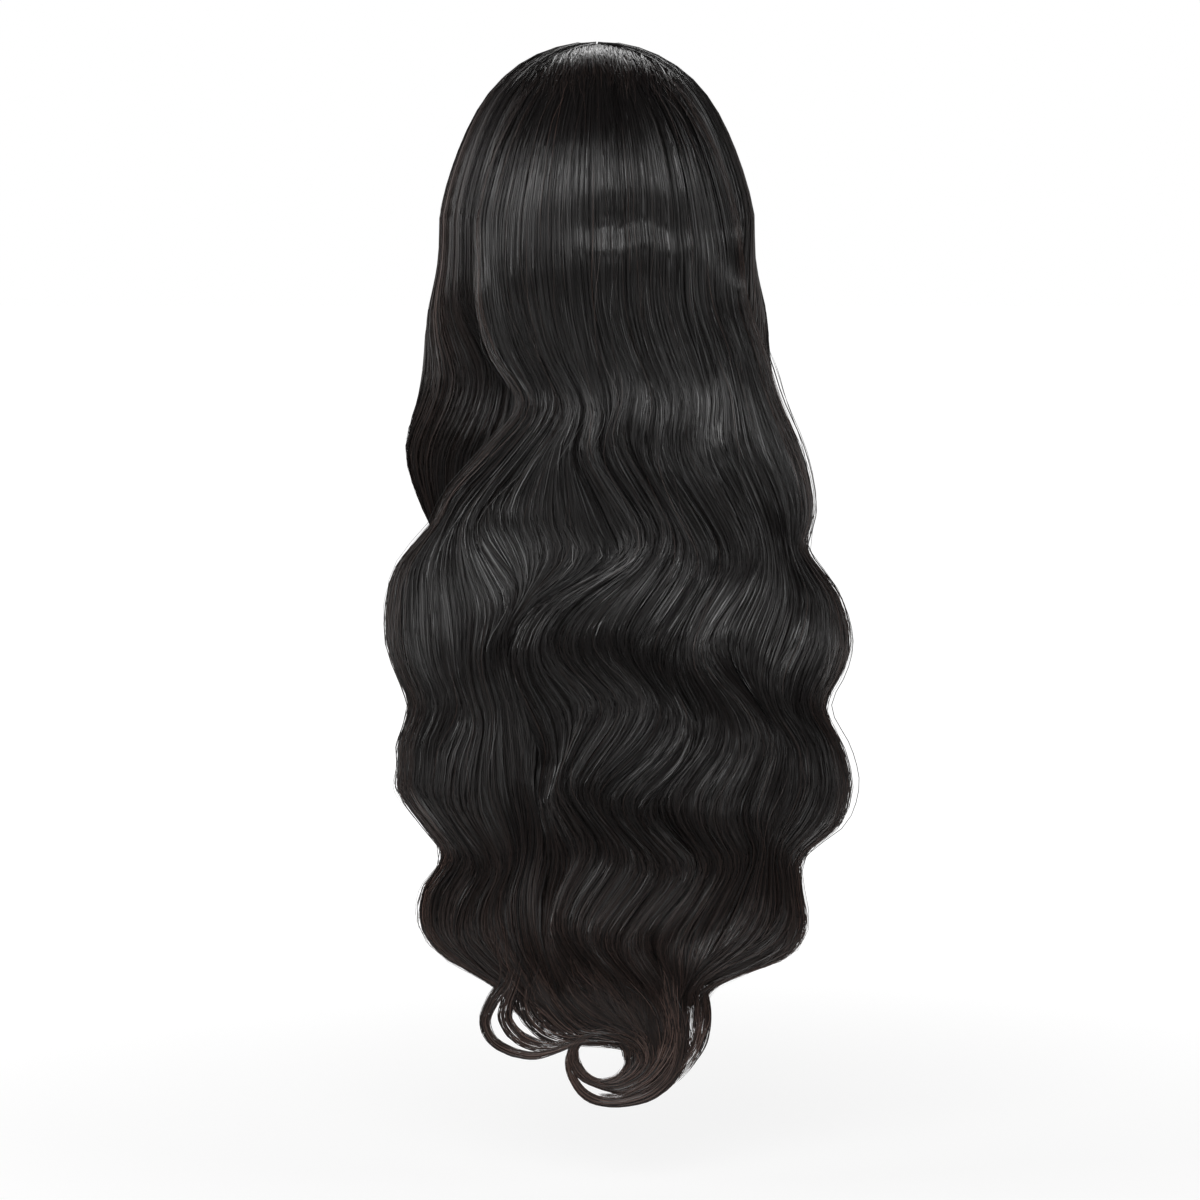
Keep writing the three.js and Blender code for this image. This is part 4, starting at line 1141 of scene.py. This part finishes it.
class WIG_OT_studio(bpy.types.Operator):
    """Sets the pale floor, the soft lights and the camera"""

    bl_idname = "wig.studio"
    bl_label = "Studio"

    def execute(self, context):
        scene = context.scene
        scene.view_settings.view_transform = "Standard"
        world = bpy.data.worlds.new("studio")
        scene.world = world
        world.use_nodes = True
        tree = world.node_tree
        background = tree.nodes["Background"]
        seen = add(tree, "ShaderNodeLightPath")
        level = add(tree, "ShaderNodeMapRange")
        level.inputs["To Min"].default_value = 0.03
        level.inputs["To Max"].default_value = 1.0
        link(tree, seen.outputs["Is Camera Ray"], level.inputs["Value"])
        link(tree, level.outputs[0], background.inputs["Strength"])
        background.inputs["Color"].default_value = (1, 1, 1, 1)
        self.floor()
        for light in LIGHTS:
            area_light(*light)
        camera = bpy.data.objects.new("camera", bpy.data.cameras.new("camera"))
        scene.collection.objects.link(camera)
        camera.location = CAMERA_PLACE
        camera.rotation_euler = (math.radians(90 - CAMERA_DOWN), 0, 0)
        camera.data.lens = CAMERA_LENS
        scene.camera = camera
        return {"FINISHED"}

    def floor(self):
        """Pale floor that glows a little brighter further out, for the camera alone."""
        material, tree, shader = new_material("floor")
        shader.inputs["Base Color"].default_value = (0.2, 0.2, 0.2, 1)
        shader.inputs["Roughness"].default_value = 0.9
        shader.inputs["Specular IOR Level"].default_value = 0.0
        shader.inputs["Emission Color"].default_value = (1, 1, 1, 1)
        place = add(tree, "ShaderNodeTexCoord")
        moved = add(tree, "ShaderNodeMapping")
        moved.inputs["Location"].default_value = (0, 0, -FLOOR_LEVEL)
        link(tree, place.outputs["Object"], moved.inputs[0])
        reach = add(tree, "ShaderNodeVectorMath", operation="LENGTH")
        link(tree, moved.outputs[0], reach.inputs[0])
        glow = add(tree, "ShaderNodeMapRange", interpolation_type="SMOOTHSTEP")
        glow.inputs["From Min"].default_value = 0.1
        glow.inputs["From Max"].default_value = 1.6
        glow.inputs["To Min"].default_value = 0.8
        glow.inputs["To Max"].default_value = 1.05
        link(tree, reach.outputs["Value"], glow.inputs["Value"])
        seen = add(tree, "ShaderNodeLightPath")
        direct = math_node(tree, "MULTIPLY", glow.outputs[0], seen.outputs["Is Camera Ray"])
        link(tree, direct, shader.inputs["Emission Strength"])
        uvs = np.array([[0, 0], [1, 0], [1, 1], [0, 1]], float)
        points = np.column_stack([(2 * uvs - 1) * FLOOR_HALF, np.full(4, FLOOR_LEVEL)])
        mesh_piece("floor", points, np.array([[0, 1, 2, 3]]), uvs, material)


class WIG_PT_panel(bpy.types.Panel):
    """Lists the steps that build the wig"""

    bl_idname = "WIG_PT_panel"
    bl_label = "Wavy wig"
    bl_space_type = "VIEW_3D"
    bl_region_type = "UI"
    bl_category = "Wig"

    def draw(self, context):
        column = self.layout.column()
        for group in (context.scene.wig_sizes, context.scene.wig_colours):
            for name in group.__annotations__:
                column.prop(group, name)
        for step in STEPS:
            column.operator(step.bl_idname)


STEPS = (
    WIG_OT_studio, WIG_OT_cap, WIG_OT_back_hair, WIG_OT_front_hair, WIG_OT_tips, WIG_OT_stray_hairs,
)
CLASSES = (WigSizes, WigColours, *STEPS, WIG_PT_panel)


def register():
    for each in CLASSES:
        bpy.utils.register_class(each)
    bpy.types.Scene.wig_sizes = PointerProperty(type=WigSizes)
    bpy.types.Scene.wig_colours = PointerProperty(type=WigColours)


def unregister():
    del bpy.types.Scene.wig_colours
    del bpy.types.Scene.wig_sizes
    for each in reversed(CLASSES):
        bpy.utils.unregister_class(each)


def main():
    """Builds the studio and the wig."""
    register()
    bpy.ops.wig.studio()
    bpy.ops.wig.cap()
    bpy.ops.wig.back_hair()
    bpy.ops.wig.front_hair()
    bpy.ops.wig.tips()
    bpy.ops.wig.stray_hairs()


if __name__ == "__main__":
    main()
